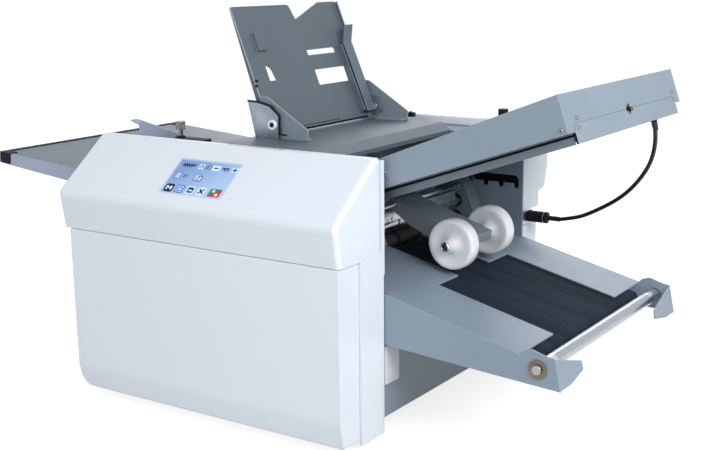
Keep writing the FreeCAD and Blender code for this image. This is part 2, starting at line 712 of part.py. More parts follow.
def front_door():
    outer = prism_x(door_outline(0.0), -DOOR_HALF_WIDTH, DOOR_HALF_WIDTH)
    limits = prism_y([(-DOOR_HALF_WIDTH, DOOR_FOOT_Z, DOOR_CORNER),
                      (DOOR_HALF_WIDTH, DOOR_FOOT_Z, 6.0),
                      (DOOR_HALF_WIDTH, DOOR_TOP_Z, 2.0), (-DOOR_HALF_WIDTH, DOOR_TOP_Z, 2.0)],
                     -CONSOLE_FACE_Y - 1, -DOOR_BACK_Y)
    outer = outer.common(limits)
    inner = prism_x(door_outline(DOOR_WALL), -DOOR_HALF_WIDTH + DOOR_WALL,
                    DOOR_HALF_WIDTH - DOOR_WALL)
    hollow = prism_y([(-DOOR_HALF_WIDTH + DOOR_WALL, DOOR_FOOT_Z + DOOR_WALL,
                       DOOR_CORNER - DOOR_WALL),
                      (DOOR_HALF_WIDTH - DOOR_WALL, DOOR_FOOT_Z + DOOR_WALL, 3.0),
                      (DOOR_HALF_WIDTH - DOOR_WALL, DOOR_TOP_Z - DOOR_WALL),
                      (-DOOR_HALF_WIDTH + DOOR_WALL, DOOR_TOP_Z - DOOR_WALL)],
                     -CONSOLE_FACE_Y - 1, -DOOR_BACK_Y + 3)
    shell = outer.cut(inner.common(hollow))
    ribs = [box(x - 1.2, x + 1.2, -CONSOLE_FACE_Y + DOOR_DRAFT + 1, -DOOR_BACK_Y - 14,
                DOOR_FOOT_Z + DOOR_WALL, DOOR_TOP_Z - DOOR_WALL) for x in (-75.0, 75.0)]
    knuckles = [rod_z(HINGE_X, HINGE_Y, HINGE_BOSS_RADIUS - 2.5, z0, z1)
                for z0, z1 in ((DOOR_FOOT_Z, DOOR_FOOT_Z + 8), (DOOR_TOP_Z - 8, DOOR_TOP_Z))]
    webs = [box(-DOOR_HALF_WIDTH + 0.5, HINGE_X + 8, HINGE_Y - 8, HINGE_Y, z0, z1)
            for z0, z1 in ((DOOR_FOOT_Z, DOOR_FOOT_Z + 6), (DOOR_TOP_Z - 6, DOOR_TOP_Z))]
    webs = [web.common(prism_x(door_outline(0.0), -DOOR_HALF_WIDTH, 0)) for web in webs]
    door = joined([shell] + ribs + knuckles + webs)
    bore = rod_z(HINGE_X, HINGE_Y, HINGE_PIN_RADIUS + RUNNING, DOOR_FOOT_Z - 1, DOOR_TOP_Z + 1)
    return [door.cut(bore)]


def rear_outline(inset):
    """Section of the rear cover in (y, z)."""
    top = COVER_TOP_Z - inset
    inner = COVER_INNER_Y + inset
    bottom = REAR_BOTTOM_Z - (5.0 if inset else 0.0)
    foot = REAR_FOOT_Y - inset
    crest = REAR_CREST_Y - inset
    return [(inner, bottom), (foot, bottom), (foot + 1.4, REAR_BOTTOM_Z + 23.1 + inset),
            (foot + 20.0, REAR_BOTTOM_Z + 26.0 + inset), (foot + 22.5, REAR_BOTTOM_Z + 30.9 + inset),
            (crest - 2.7, REAR_BOTTOM_Z + 52.5), (crest - 0.9, REAR_BOTTOM_Z + 60.5),
            (crest, REAR_CREST_Z - inset * 0.48, 14 - inset),
            (REAR_SLOPE_TOP_Y - inset * 0.35, top, 6 - inset), (inner, top, 0.0 if inset else 2.0)]


def rear_cover():
    outer = prism_x(rear_outline(0.0), COVER_LEFT, COVER_RIGHT)
    inner = prism_x(rear_outline(COVER_WALL), COVER_LEFT + COVER_WALL, COVER_RIGHT - COVER_WALL)
    pieces = [outer.cut(inner)]
    for x in (-190.0, 190.0):
        pieces.append(box(x - 6, x + 6, FRAME_OUTER, COVER_INNER_Y + 2, REAR_BOTTOM_Z + 19,
                          REAR_BOTTOM_Z + 31))
    pieces.append(box(COVER_RIGHT - COVER_WALL, COVER_RIGHT, COVER_INNER_Y - COVER_LIP,
                      COVER_INNER_Y + 1, REAR_BOTTOM_Z, COVER_TOP_Z - COVER_WALL))
    return [joined(pieces)]


def rear_panel():
    left, right = COVER_LEFT + 12, COVER_RIGHT
    outer = box(left, right, COVER_INNER_Y, REAR_PANEL_Y, REAR_PANEL_FOOT_Z, REAR_PANEL_TOP_Z)
    outer = rounded(outer, [e for e in outer.Edges if e.BoundBox.ZLength > 100
                            and e.BoundBox.YMin > REAR_PANEL_Y - 1], 6.0)
    inner = box(left + REAR_WALL, right - REAR_WALL, COVER_INNER_Y - 1, REAR_PANEL_Y - REAR_WALL,
                REAR_PANEL_FOOT_Z + REAR_WALL, REAR_PANEL_TOP_Z - REAR_WALL)
    pieces = [outer.cut(inner)]
    for x, z in ((-180.0, 40.0), (180.0, 40.0), (-180.0, 190.0), (130.0, 190.0)):
        pieces.append(rod_y(Vector(x, 0, z), 6.0, FRAME_OUTER, REAR_PANEL_Y - 1))
    panel = joined(pieces)
    for index in range(VENT_COUNT):
        x = VENT_X + (index - (VENT_COUNT - 1) / 2) * VENT_PITCH
        slot = prism_y([(x - VENT_SLOT / 2, VENT_Z - VENT_LENGTH / 2, 2.4),
                        (x + VENT_SLOT / 2, VENT_Z - VENT_LENGTH / 2, 2.4),
                        (x + VENT_SLOT / 2, VENT_Z + VENT_LENGTH / 2, 2.4),
                        (x - VENT_SLOT / 2, VENT_Z + VENT_LENGTH / 2, 2.4)],
                       REAR_PANEL_Y - 10, REAR_PANEL_Y + 1)
        panel = panel.cut(slot)
    return [panel.cut(box(-178.0, -120.0, REAR_PANEL_Y - 10, REAR_PANEL_Y + 1, 62.0, 92.0))]


def power_inlet():
    """Mains inlet with a socket for its switch, snapped into the rear panel."""
    body = box(-178.0, -120.0, REAR_PANEL_Y - 22, REAR_PANEL_Y, 62.0, 92.0)
    flange = box(-181.0, -117.0, REAR_PANEL_Y, REAR_PANEL_Y + 2.0, 59.0, 95.0)
    inlet = joined([body, flange])
    cavity = prism_y([(-175.0, 66.0, 3.0), (-148.0, 66.0, 3.0), (-148.0, 88.0, 6.0),
                      (-175.0, 88.0, 6.0)], REAR_PANEL_Y - 16, REAR_PANEL_Y + 3)
    inlet = inlet.cut(cavity)
    blades = [box(x - 1, x + 1, REAR_PANEL_Y - 17, REAR_PANEL_Y - 5, z - 3, z + 3)
              for x, z in ((-168.5, 76.0), (-154.5, 76.0), (-161.5, 81.0))]
    inlet = joined([inlet] + blades)
    return [inlet.cut(box(-142.0, -124.0, REAR_PANEL_Y - 12, REAR_PANEL_Y + 3, 66.0, 88.0))]


def power_switch():
    """Rocker that turns on a pin across the inlet's right-hand pocket."""
    pivot_y = REAR_PANEL_Y - 4.0
    rocker = prism_x([(REAR_PANEL_Y - 9, 71.5, 2), (REAR_PANEL_Y + 3.2, 67.8, 1),
                      (REAR_PANEL_Y + 1.4, 77.0, 12), (REAR_PANEL_Y + 3.2, 86.2, 1),
                      (REAR_PANEL_Y - 9, 82.5, 2)], -141.5, -124.5)
    pin = Part.makeCylinder(1.5, 17.6, Vector(-141.8, pivot_y, 77.0), Vector(1, 0, 0))
    return [joined([rocker, pin])]


# ---------- touchscreen ----------
def touchscreen():
    """Glass flush with the slope, on the display module behind it."""
    glass = on_slope(SCREEN_WIDTH, SCREEN_HEIGHT, SCREEN_CORNER, 0.3, LENS_THICKNESS)
    module = on_slope(SCREEN_WIDTH + 2 * MODULE_MARGIN, SCREEN_HEIGHT + 2 * MODULE_MARGIN, 3.0,
                      COVER_WALL + 0.7, MODULE_DEPTH)
    spacer = on_slope(SCREEN_WIDTH - 8, SCREEN_HEIGHT - 8, 3.0, LENS_THICKNESS, COVER_WALL + 0.7)
    return [glass, joined([module, spacer])]


# ---------- infeed ----------
def table_placed(shape):
    return tilted(shape, -TABLE_ANGLE, Vector(TABLE_END_X, 0, TABLE_END_Z))


def infeed_table():
    """Folded sheet tray: top skin with a tongue, and side skirts that deepen to the machine."""
    wide = TABLE_LENGTH - 2.0
    tongue = TABLE_HALF_WIDTH - TABLE_TONGUE_INSET
    top = prism_z([(0, -TABLE_HALF_WIDTH), (wide, -TABLE_HALF_WIDTH), (wide, -tongue),
                   (TABLE_LENGTH + TABLE_TONGUE, -tongue), (TABLE_LENGTH + TABLE_TONGUE, tongue),
                   (wide, tongue), (wide, TABLE_HALF_WIDTH), (0, TABLE_HALF_WIDTH)],
                  -TABLE_SHEET, 0)
    skirt = prism_y([(0, 0), (0, -TABLE_SKIRT_END), (wide, -TABLE_SKIRT_INNER), (wide, 0)],
                    -TABLE_HALF_WIDTH, -TABLE_HALF_WIDTH + TABLE_SHEET)
    end = box(0, TABLE_SHEET, -TABLE_HALF_WIDTH, TABLE_HALF_WIDTH, -TABLE_SKIRT_END, 0)
    return [table_placed(joined([top, skirt, mirrored(skirt), end]))]


def table_end_cap():
    """Black moulded strip that hooks over the table's outer edge."""
    outer = box(-CAP_WALL, CAP_LENGTH, -TABLE_HALF_WIDTH - CAP_WALL, TABLE_HALF_WIDTH + CAP_WALL,
                -CAP_DEPTH, CAP_WALL * 0.6)
    hollow = box(0, CAP_LENGTH + 1, -TABLE_HALF_WIDTH, TABLE_HALF_WIDTH, -CAP_DEPTH - 1, 0)
    relief = box(TABLE_SHEET + 2, CAP_LENGTH + 1, -TABLE_HALF_WIDTH + 14, TABLE_HALF_WIDTH - 14,
                 -1, CAP_WALL)
    return [table_placed(outer.cut(hollow).cut(relief))]


def guide_leaf(start_x, flare):
    """Upright leaf of the near guide, seen from above; flare turns its outer end outwards."""
    inner, outer = -GUIDE_Y, -GUIDE_Y - GUIDE_SHEET
    run = [(GUIDE_END_X, inner), (GUIDE_END_X, outer), (start_x, outer), (start_x, inner)]
    if flare:
        run = [(GUIDE_END_X, inner), (GUIDE_END_X, outer), (start_x + 0.4, outer, 10.0),
               (start_x - GUIDE_EAR, outer - flare), (start_x - GUIDE_EAR, inner - flare),
               (start_x, inner, 10.0 + GUIDE_SHEET)]
    return prism_z(run, 280.0, 390.0)


def side_guide(start_x, flare):
    """Leaf, foot on the table and the post that its thumbscrew clamps through."""
    left, right = start_x - 1.0, GUIDE_END_X
    slope = (GUIDE_HIGH_Z - GUIDE_LOW_Z) / (GUIDE_END_X - GUIDE_START_X)
    high = GUIDE_LOW_Z + (right - left) * slope
    shape = [(left, table_z(left) + GUIDE_LIFT), (right, table_z(right) + GUIDE_LIFT),
             (right, GUIDE_LOW_Z, 6.0), (left - (4.0 if flare else 0.0), high, 3.0)]
    if flare:
        shape += [(left - GUIDE_EAR - 1, high - 2.0), (left, high - 9.0)]
    leaf = guide_leaf(start_x, flare).common(prism_y(shape, -GUIDE_Y - 60, -GUIDE_Y + 20))
    foot_x = GUIDE_SCREW_X - 25
    foot = prism_y([(foot_x, table_z(foot_x) + GUIDE_LIFT), (right, table_z(right) + GUIDE_LIFT),
                    (right, table_z(right) + GUIDE_LIFT + GUIDE_SHEET),
                    (foot_x, table_z(foot_x) + GUIDE_LIFT + GUIDE_SHEET)],
                   -GUIDE_Y - GUIDE_FOOT, -GUIDE_Y - GUIDE_SHEET / 2)
    axis_y = -GUIDE_Y - GUIDE_SCREW_OUT
    seat = table_z(GUIDE_SCREW_X) + 1.2
    post = rod_z(GUIDE_SCREW_X, axis_y, GUIDE_POST_RADIUS, seat, GUIDE_POST_TOP)
    web = box(GUIDE_SCREW_X - 2, GUIDE_SCREW_X + 2, axis_y, -GUIDE_Y - GUIDE_SHEET / 2, seat,
              GUIDE_LOW_Z - 6)
    guide = joined([leaf, foot, post, web])
    return guide.cut(rod_z(GUIDE_SCREW_X, axis_y, THREAD_RADIUS + RUNNING, 270.0, GUIDE_POST_TOP + 1))


def near_side_guide():
    return [side_guide(GUIDE_START_X, GUIDE_FLARE)]


def far_side_guide():
    return [mirrored(side_guide(FAR_GUIDE_START_X, 0.0))]


def near_guide_screw():
    """Knurled thumbscrew whose tip clamps the guide to the table."""
    x, y = GUIDE_SCREW_X, -GUIDE_Y - GUIDE_SCREW_OUT
    head = rod_z(x, y, THUMB_RADIUS, THUMB_TOP - THUMB_HEIGHT, THUMB_TOP)
    head = rounded(head, [e for e in head.Edges if e.BoundBox.ZLength < 1e-6], 0.8)
    grooves = []
    for index in range(18):
        angle = math.radians(20 * index)
        grooves.append(rod_z(x + THUMB_RADIUS * math.cos(angle), y + THUMB_RADIUS * math.sin(angle),
                             0.6, THUMB_TOP - THUMB_HEIGHT - 1, THUMB_TOP + 1))
    head = head.cut(Part.makeCompound(grooves))
    stem = rod_z(x, y, THUMB_STEM, GUIDE_POST_TOP + 0.3, THUMB_TOP - THUMB_HEIGHT + 1)
    thread = rod_z(x, y, THREAD_RADIUS, table_z(x) + 0.5, THUMB_TOP - 5)
    return [joined([head, stem, thread])]


def far_guide_screw():
    return [mirrored(near_guide_screw()[0])]


def roller(axis, radius, half, shaft_radius, reach):
    return joined([rod_y(axis, radius, -half, half), rod_y(axis, shaft_radius, -reach, reach)])


def feed_roller():
    axis = Vector(FEED_X, 0, FEED_Z)
    hub = rod_y(axis, FEED_TYRE_RADIUS, -FEED_TYRE_HALF, FEED_TYRE_HALF)
    grooves = [rod_y(axis, FEED_TYRE_RADIUS + 1, y, y + 2).cut(
        rod_y(axis, FEED_TYRE_RADIUS - 1.5, y, y + 2)) for y in (-13.0, -1.0, 11.0)]
    hub = hub.cut(Part.makeCompound(grooves))
    return [joined([hub, rod_y(axis, FEED_SHAFT_RADIUS, -SHAFT_STUB, SHAFT_STUB)])]


def separator_block():
    """Spring-loaded friction pad under the feed tyre, saddled on its cross bar."""
    top = FEED_Z - FEED_TYRE_RADIUS - 0.6
    block = prism_y([(FEED_X - SEPARATOR_HALF_X, SEPARATOR_BAR_Z), (FEED_X + SEPARATOR_HALF_X,
                     SEPARATOR_BAR_Z), (FEED_X + SEPARATOR_HALF_X, top - 3, 4),
                     (FEED_X, top, 8), (FEED_X - SEPARATOR_HALF_X, top - 3, 4)],
                    -SEPARATOR_HALF_Y, SEPARATOR_HALF_Y)
    bar = rod_y(Vector(FEED_X, 0, SEPARATOR_BAR_Z), TIE_RADIUS, -SEPARATOR_HALF_Y - 1,
                SEPARATOR_HALF_Y + 1)
    return [block.cut(bar)]


# ---------- fold rollers ----------
def gear_blank(axis, phase):
    """Straight-cut gear on a roller's rear journal; phase turns it into mesh."""
    pitch_radius = ROLLER_PITCH / 2
    outer = pitch_radius + GEAR_ADDENDUM
    root = pitch_radius - GEAR_DEDENDUM
    points = []
    step = 360.0 / GEAR_TEETH
    for tooth in range(GEAR_TEETH):
        centre = phase + tooth * step
        for offset, radius in ((-0.30, root), (-0.12, outer), (0.12, outer), (0.30, root)):
            angle = math.radians(centre + offset * step)
            points.append((axis.x + radius * math.cos(angle), axis.z + radius * math.sin(angle)))
    return prism_y(points, GEAR_OUT, GEAR_OUT + GEAR_FACE)


def fold_roller(index):
    """Urethane-covered fold roller with its journals and gear, and a pulley on the second."""
    axis = ROLLER_AXES[index]
    cover = rod_y(axis, ROLLER_RADIUS, -ROLLER_HALF, ROLLER_HALF)
    cover = rounded(cover, [e for e in cover.Edges if e.BoundBox.YLength < 1e-6], 1.0)
    pieces = [cover, rod_y(axis, JOURNAL_RADIUS, -SHAFT_STUB - 2, GEAR_OUT + 1),
              gear_blank(axis, GEAR_PHASES[index])]
    if index == 1:
        pieces.append(rod_y(axis, ROLLER_PULLEY_RADIUS, PULLEY_Y - PULLEY_FACE, PULLEY_Y))
    return [joined(pieces)]


def mesh_phase(first, second):
    """Phase of the second gear of a pair so that its gap faces a tooth of the first."""
    step = 360.0 / GEAR_TEETH
    line = ROLLER_AXES[second] - ROLLER_AXES[first]
    bearing = math.degrees(math.atan2(line.z, line.x))
    first_phase = GEAR_PHASES[first]
    tooth_offset = (bearing - first_phase) / step
    return bearing + 180.0 + (tooth_offset + 0.5) * step


GEAR_PHASES = {0: 0.0}
for _pair in ((0, 1), (1, 2), (2, 3)):
    GEAR_PHASES[_pair[1]] = mesh_phase(*_pair)


def exit_roller(axis):
    """Shaft with four knurled bands that carry the folded sheet out."""
    pieces = [rod_y(axis, EXIT_SHAFT_RADIUS + 2.5, -ROLLER_HALF, ROLLER_HALF),
              rod_y(axis, EXIT_SHAFT_RADIUS, -SHAFT_STUB, SHAFT_STUB)]
    for y in EXIT_BANDS:
        band = rod_y(axis, EXIT_RADIUS, y - EXIT_BAND_HALF, y + EXIT_BAND_HALF)
        pieces.append(rounded(band, [e for e in band.Edges if e.BoundBox.YLength < 1e-6], 1.5))
    return [joined(pieces)]


def fold_floor_z(x):
    """Height of the underside of the upper fold plate's floor."""
    corner = fold_point(0, -FOLD_SIDE_DEPTH)
    return corner.z + (x - corner.x) * math.tan(math.radians(FOLD_ANGLE))


def exit_strip():
    """Cross sheet hung under the fold plate's floor, with the bent strip that leads the paper."""
    right, left = EXIT_BAR_X, EXIT_BAR_X - STRIP_SHEET
    back = right - 16.0
    top = fold_floor_z(left)
    flange = prism_y([(right, fold_floor_z(right)), (back, fold_floor_z(back)),
                      (back, fold_floor_z(back) - STRIP_SHEET), (right, top - STRIP_SHEET)],
                     EXIT_SHEET_INNER_Y, STRIP_OUTER_Y)
    sheet = box(left, right, EXIT_SHEET_INNER_Y, STRIP_OUTER_Y, EXIT_SHEET_FOOT, top)
    bend = [(left, top), (right + 20.5, top - 9.2, 9), (right + 31.4, top - 17.3, 12),
            (right + 45.6, top - 51.0, 9), (right + 49.5, top - 59.1)]
    under = [(right + 48.0, top - 59.8), (right + 44.0, top - 51.4, 7.4),
             (right + 30.0, top - 18.2, 10.4), (right + 19.8, top - 10.7, 7.4), (left, top - 2.0)]
    strip = prism_y(bend + under, STRIP_INNER_Y, STRIP_OUTER_Y)
    return joined([flange, sheet, strip])


def exit_guides():
    """L-section bar across the exit on its two pins, and the bent strips above it."""
    left = EXIT_BAR_X - EXIT_BAR_WIDTH
    bar = box(left, EXIT_BAR_X, -EXIT_BAR_HALF, EXIT_BAR_HALF, EXIT_BAR_TOP - EXIT_BAR_THICK,
              EXIT_BAR_TOP)
    lip = box(EXIT_BAR_X - EXIT_BAR_THICK, EXIT_BAR_X, -EXIT_BAR_HALF, EXIT_BAR_HALF, EXIT_BAR_FOOT,
              EXIT_BAR_TOP)
    pin = rod_y(Vector(left + 12, 0, EXIT_BAR_TOP - 1.0 - EXIT_PIN_RADIUS), EXIT_PIN_RADIUS,
                EXIT_BAR_HALF - 12, FRAME_Y)
    strip = exit_strip()
    return [joined([bar, lip, pin, mirrored(pin)]), strip, mirrored(strip)]


# ---------- top cover and multi-sheet tray ----------
def cover_ear(top, y):
    """Ear under the top cover that turns on its hinge pin."""
    return prism_y([(COVER_PIN_X - 6, COVER_PIN_Z - 6, 4), (COVER_PIN_X + 6, COVER_PIN_Z - 6, 4),
                    (COVER_PIN_X + 22, top), (COVER_PIN_X - 6, top)], y, y + EAR_SHEET)


def top_cover():
    """Hinged cover over the feed and fold rollers: plateau, sloping nose and rear step."""
    sheet = TOP_COVER_SHEET
    low = FRAME_TOP + 0.3
    section = [(TOP_COVER_LEFT, 338.0), (TOP_COVER_LEFT, TOP_COVER_Z, 3.0),
               (TOP_COVER_RIDGE, TOP_COVER_Z, 3.0), (TOP_COVER_LIP_X, TOP_COVER_LIP_Z),
               (TOP_COVER_LIP_X, TOP_COVER_LIP_Z - 6),
               (TOP_COVER_LIP_X - sheet, TOP_COVER_LIP_Z - 6),
               (TOP_COVER_LIP_X - sheet, TOP_COVER_LIP_Z - 0.6),
               (TOP_COVER_RIDGE - 0.7, TOP_COVER_Z - sheet, 1.0),
               (TOP_COVER_LEFT + sheet, TOP_COVER_Z - sheet, 1.0), (TOP_COVER_LEFT + sheet, 338.0)]
    roof = prism_y(section, -TOP_COVER_HALF, TOP_COVER_FAR)
    clear = box(TOP_COVER_LEFT - 1, TOP_COVER_LEFT + sheet, -TOP_COVER_HALF - 1, -FRAME_Y + 2, 300,
                TOP_COVER_Z - sheet)
    over_frame = box(TOP_COVER_LIP_X - sheet - 1, TOP_COVER_LIP_X + 1, -TOP_COVER_HALF - 1,
                     -FRAME_Y + 2, 300, low)
    roof = roof.cut(clear).cut(over_frame)
    past_pin = COVER_PIN_X + 5
    near_flange = box(past_pin, TOP_COVER_RIDGE - 1, -FRAME_OUTER + 0.5, -FRAME_Y - 0.5, low,
                      TOP_COVER_Z - 1)
    wall = box(TOP_COVER_LEFT, TOP_COVER_RIDGE, TOP_COVER_FAR - sheet, TOP_COVER_FAR, low,
               TOP_COVER_Z - 1)
    nose = prism_y([(TOP_COVER_RIDGE - 1, low), (TOP_COVER_RIDGE - 1, TOP_COVER_Z - 0.5),
                    (TOP_COVER_LIP_X - 0.5, TOP_COVER_LIP_Z - 1), (TOP_COVER_LIP_X - 0.5, low)],
                   TOP_COVER_FAR - sheet, TOP_COVER_FAR)
    step = joined([box(TOP_COVER_LEFT, TOP_COVER_LIP_X + 8, TOP_COVER_FAR - sheet, FRAME_Y - 2,
                       low, low + sheet),
                   box(past_pin, TOP_COVER_LIP_X + 8, FRAME_Y - 3, TOP_COVER_HALF, low,
                       low + sheet)])
    near_ear = cover_ear(TOP_COVER_Z - 1, -EAR_Y)
    far_ear = cover_ear(low + 1, EAR_Y - EAR_SHEET)
    cover = joined([roof, near_flange, wall, nose, step, near_ear, far_ear])
    pin = Vector(COVER_PIN_X, 0, COVER_PIN_Z)
    return [cover.cut(rod_y(pin, COVER_PIN_RADIUS + RUNNING, -FRAME_Y, FRAME_Y))]


def gusset(y0, y1):
    """Triangular side bracket that the tray stands between."""
    plate = prism_y([(5, TOP_COVER_Z), (-13, 421, 2), (-2, 420, 2), (67, 377.5, 3),
                     (66, TOP_COVER_Z)], y0, y1)
    return plate


def tray_gussets():
    """Gussets with their feet, and the bright pivot brackets outside them."""
    near = gusset(-GUSSET_Y - GUSSET_SHEET, -GUSSET_Y)
    foot = box(16, 64, -GUSSET_Y - GUSSET_SHEET, -GUSSET_Y + 12, TOP_COVER_Z, TOP_COVER_Z + 1.6)
    pivot = Vector(TRAY_PIVOT_X, 0, TRAY_PIVOT_Z)
    near = joined([near, foot])
    near = near.cut(rod_y(pivot, TRAY_PIVOT_RADIUS, -GUSSET_Y - 9, -GUSSET_Y + 1))
    bracket = prism_y([(-17.6, TOP_COVER_Z), (-29.7, 413.5, 2), (-13, 412.8, 3), (8, 408.4, 10),
                       (21.6, 395.7, 10), (21.2, TOP_COVER_Z)],
                      -PIVOT_BRACKET_Y - GUSSET_SHEET, -PIVOT_BRACKET_Y)
    bracket = bracket.cut(rod_y(pivot, TRAY_PIVOT_RADIUS, -PIVOT_BRACKET_Y - 5, -PIVOT_BRACKET_Y + 1))
    return [near, bracket, mirrored(near), mirrored(bracket)]


def tray_pivot_screws():
    """Shoulder screws through the pivot brackets into the gussets, carrying the tray's ears."""
    pivot = Vector(TRAY_PIVOT_X, 0, TRAY_PIVOT_Z)
    outer = PIVOT_BRACKET_Y + GUSSET_SHEET
    screw = joined([rod_y(pivot, TRAY_PIVOT_RADIUS, GUSSET_Y - 6, outer),
                    rod_y(pivot, 6.0, outer, outer + 3.0),
                    rod_y(pivot, 7.5, GUSSET_Y + GUSSET_SHEET, PIVOT_BRACKET_Y)])
    return [screw, mirrored(screw)]


def tray_placed(shape):
    """Tray pieces are built flat: x is up the tray, z = 0 its face and +z towards the sheets."""
    turned = shape.mirror(Vector(0, 0, 0), Vector(0, 0, 1))
    return tilted(turned, 90.0 + TRAY_LEAN, Vector(TRAY_BOTTOM_X, 0, TRAY_BOTTOM_Z))


def tray_plate():
    """Leaning sheet-metal back of the multi-sheet tray, with its V notch and windows."""
    half = TRAY_HALF_WIDTH
    top = TRAY_LENGTH
    outline = [(0, -half + 1), (top, -half + 0.5, 3), (top - 1, 6, 6), (top - 24, 12.6, 2),
               (top, 80, 5), (top, half, 3), (0, half)]
    skin = prism_z(outline, -TRAY_SHEET, 0)
    windows = [[(104.7, 14.5, 2), (113, 14.5, 2), (113, 84.6, 2), (104.7, 84.6, 2)],
               [(58.8, 18.5, 2), (82.5, 18.5, 2), (82.5, 95.5, 2), (58.8, 95.5, 2)],
               [(74.5, -91, 1), (97, -91, 1), (95, -80, 10), (74.5, -75.5, 1)]]
    for window in windows:
        skin = skin.cut(prism_z(window, -TRAY_SHEET - 1, 1))
    near_y = -half + 1.2
    near_flange = prism_y([(14, -0.5), (14, -TRAY_SHEET - TRAY_FLANGE), (top - 2, -TRAY_SHEET - 1.0),
                           (top - 2, -0.5)], near_y, near_y + TRAY_SHEET)
    far_flange = box(20, top - 2, half - 1.6, half, -1, TRAY_FAR_FLANGE)
    near_ear = prism_y([(0, -1), (0, 22, 5), (22, 22, 8), (44, -1)], near_y, near_y + TRAY_SHEET)
    tab = box(118, 145, -97.0, -76.0, 3.0, 4.2)
    tab_leg = box(118, 145, -97.0, -95.8, -1.0, 4.2)
    pieces = joined([skin, near_flange, far_flange, near_ear, mirrored(near_ear), tab, tab_leg])
    pivot = Vector(TRAY_PIVOT_X, 0, TRAY_PIVOT_Z)
    return [tray_placed(pieces).cut(rod_y(pivot, TRAY_PIVOT_RADIUS + RUNNING, -half - 2, half + 2))]


def tray_side_guide():
    """Rear guide of the tray: a folded channel whose lip lifts away at its top."""
    inner, outer = TRAY_GUIDE_Y, TRAY_GUIDE_Y + TRAY_GUIDE_WIDTH
    sheet = TRAY_GUIDE_SHEET
    end = TRAY_GUIDE_LENGTH
    base = box(8, end, inner, outer, 0, 1.2)
    leaf = prism_y([(8, 0), (end, 0), (end, 8.3), (8, 11.2)], inner, inner + sheet)
    wall = prism_y([(6, 0), (end, 0), (end + 4, 9.6), (6, 12.4)], outer - sheet, outer)
    lip = prism_y([(6, 11.2), (end + 2.3, 8.3), (end + 25.7, 20.4), (end + 25, 21.8),
                   (end + 2, 9.9), (6, 12.8)], inner + 4, outer)
    return [tray_placed(joined([base, leaf, wall, lip]))]


# ---------- upper fold plate ----------
def upper_fold_cover():
    """Sheet-metal channel: wedge-shaped sides, top skin, and an end flange down to the seam."""
    drop = math.tan(math.radians(FOLD_WEDGE))
    inner_top = -FOLD_LENGTH * drop
    side = prism_y([(0, 0), (0, -FOLD_SIDE_DEPTH), (-FOLD_LENGTH, -FOLD_SIDE_DEPTH),
                    (-FOLD_LENGTH, inner_top)], -FOLD_HALF_WIDTH, -FOLD_HALF_WIDTH + FOLD_SHEET)
    skin = prism_y([(0, 0), (0, -FOLD_SHEET), (-FOLD_LENGTH, inner_top - FOLD_SHEET),
                    (-FOLD_LENGTH, inner_top)], -FOLD_HALF_WIDTH, FOLD_HALF_WIDTH)
    end = box(-FOLD_SHEET, 0, -FOLD_HALF_WIDTH, FOLD_HALF_WIDTH, -FOLD_SEAM + 0.3, 0)
    corners = [box(-FOLD_SHEET, 0, y0, y1, -FOLD_SIDE_DEPTH, -FOLD_SEAM + 1)
               for y0, y1 in ((-FOLD_HALF_WIDTH, -FOLD_INNER_HALF - 0.3),
                              (FOLD_INNER_HALF + 0.3, FOLD_HALF_WIDTH))]
    cover = joined([side, mirrored(side), skin, end] + corners)
    notch = prism_x([(-6, -FOLD_SEAM - 2), (6, -FOLD_SEAM - 2), (0, -FOLD_SEAM + 7, 2)], -5, 1)
    return [fold_placed(cover.cut(notch))]


def upper_fold_base():
    """Lower sheet of the fold plate: pocket floor, inset side strips and the end lip."""
    floor = box(-FOLD_LENGTH, 0, -FOLD_HALF_WIDTH + FOLD_SHEET, FOLD_HALF_WIDTH - FOLD_SHEET,
                -FOLD_SIDE_DEPTH, -FOLD_SIDE_DEPTH + FOLD_SHEET)
    floor = floor.cut(box(-FOLD_SHEET - 0.3, 1, -FOLD_HALF_WIDTH, FOLD_HALF_WIDTH,
                          -FOLD_DEPTH, 0))
    lip = box(-FOLD_SHEET, 0, -FOLD_INNER_HALF, FOLD_INNER_HALF, -FOLD_DEPTH, -FOLD_SEAM)
    tie = box(-FOLD_SHEET - 1, 0, -FOLD_INNER_HALF, FOLD_INNER_HALF, -FOLD_SIDE_DEPTH,
              -FOLD_SIDE_DEPTH + FOLD_SHEET)
    strip_end = -4.5
    strip = prism_y([(strip_end, -FOLD_SIDE_DEPTH), (strip_end, -FOLD_DEPTH),
                     (-FOLD_LENGTH + 70, -FOLD_DEPTH), (-FOLD_LENGTH + 50, -FOLD_SIDE_DEPTH)],
                    -FOLD_INNER_HALF, -FOLD_INNER_HALF + FOLD_SHEET)
    base = joined([floor, lip, tie, strip, mirrored(strip)])
    notch = prism_x([(-6, -FOLD_SEAM + 2), (6, -FOLD_SEAM + 2), (0, -FOLD_SEAM - 7, 2)], -5, 1)
    return [fold_placed(base.cut(notch))]


def fold_plate_studs():
    """Studs on the side frames that the fold plate's sides sit against."""
    studs = []
    for along, up in ((-250.0, -28.0), (-330.0, -28.0)):
        place = fold_point(along, up)
        stud = rod_y(place, 5.0, FOLD_HALF_WIDTH, FRAME_Y)
        studs += [stud, mirrored(stud)]
    return studs


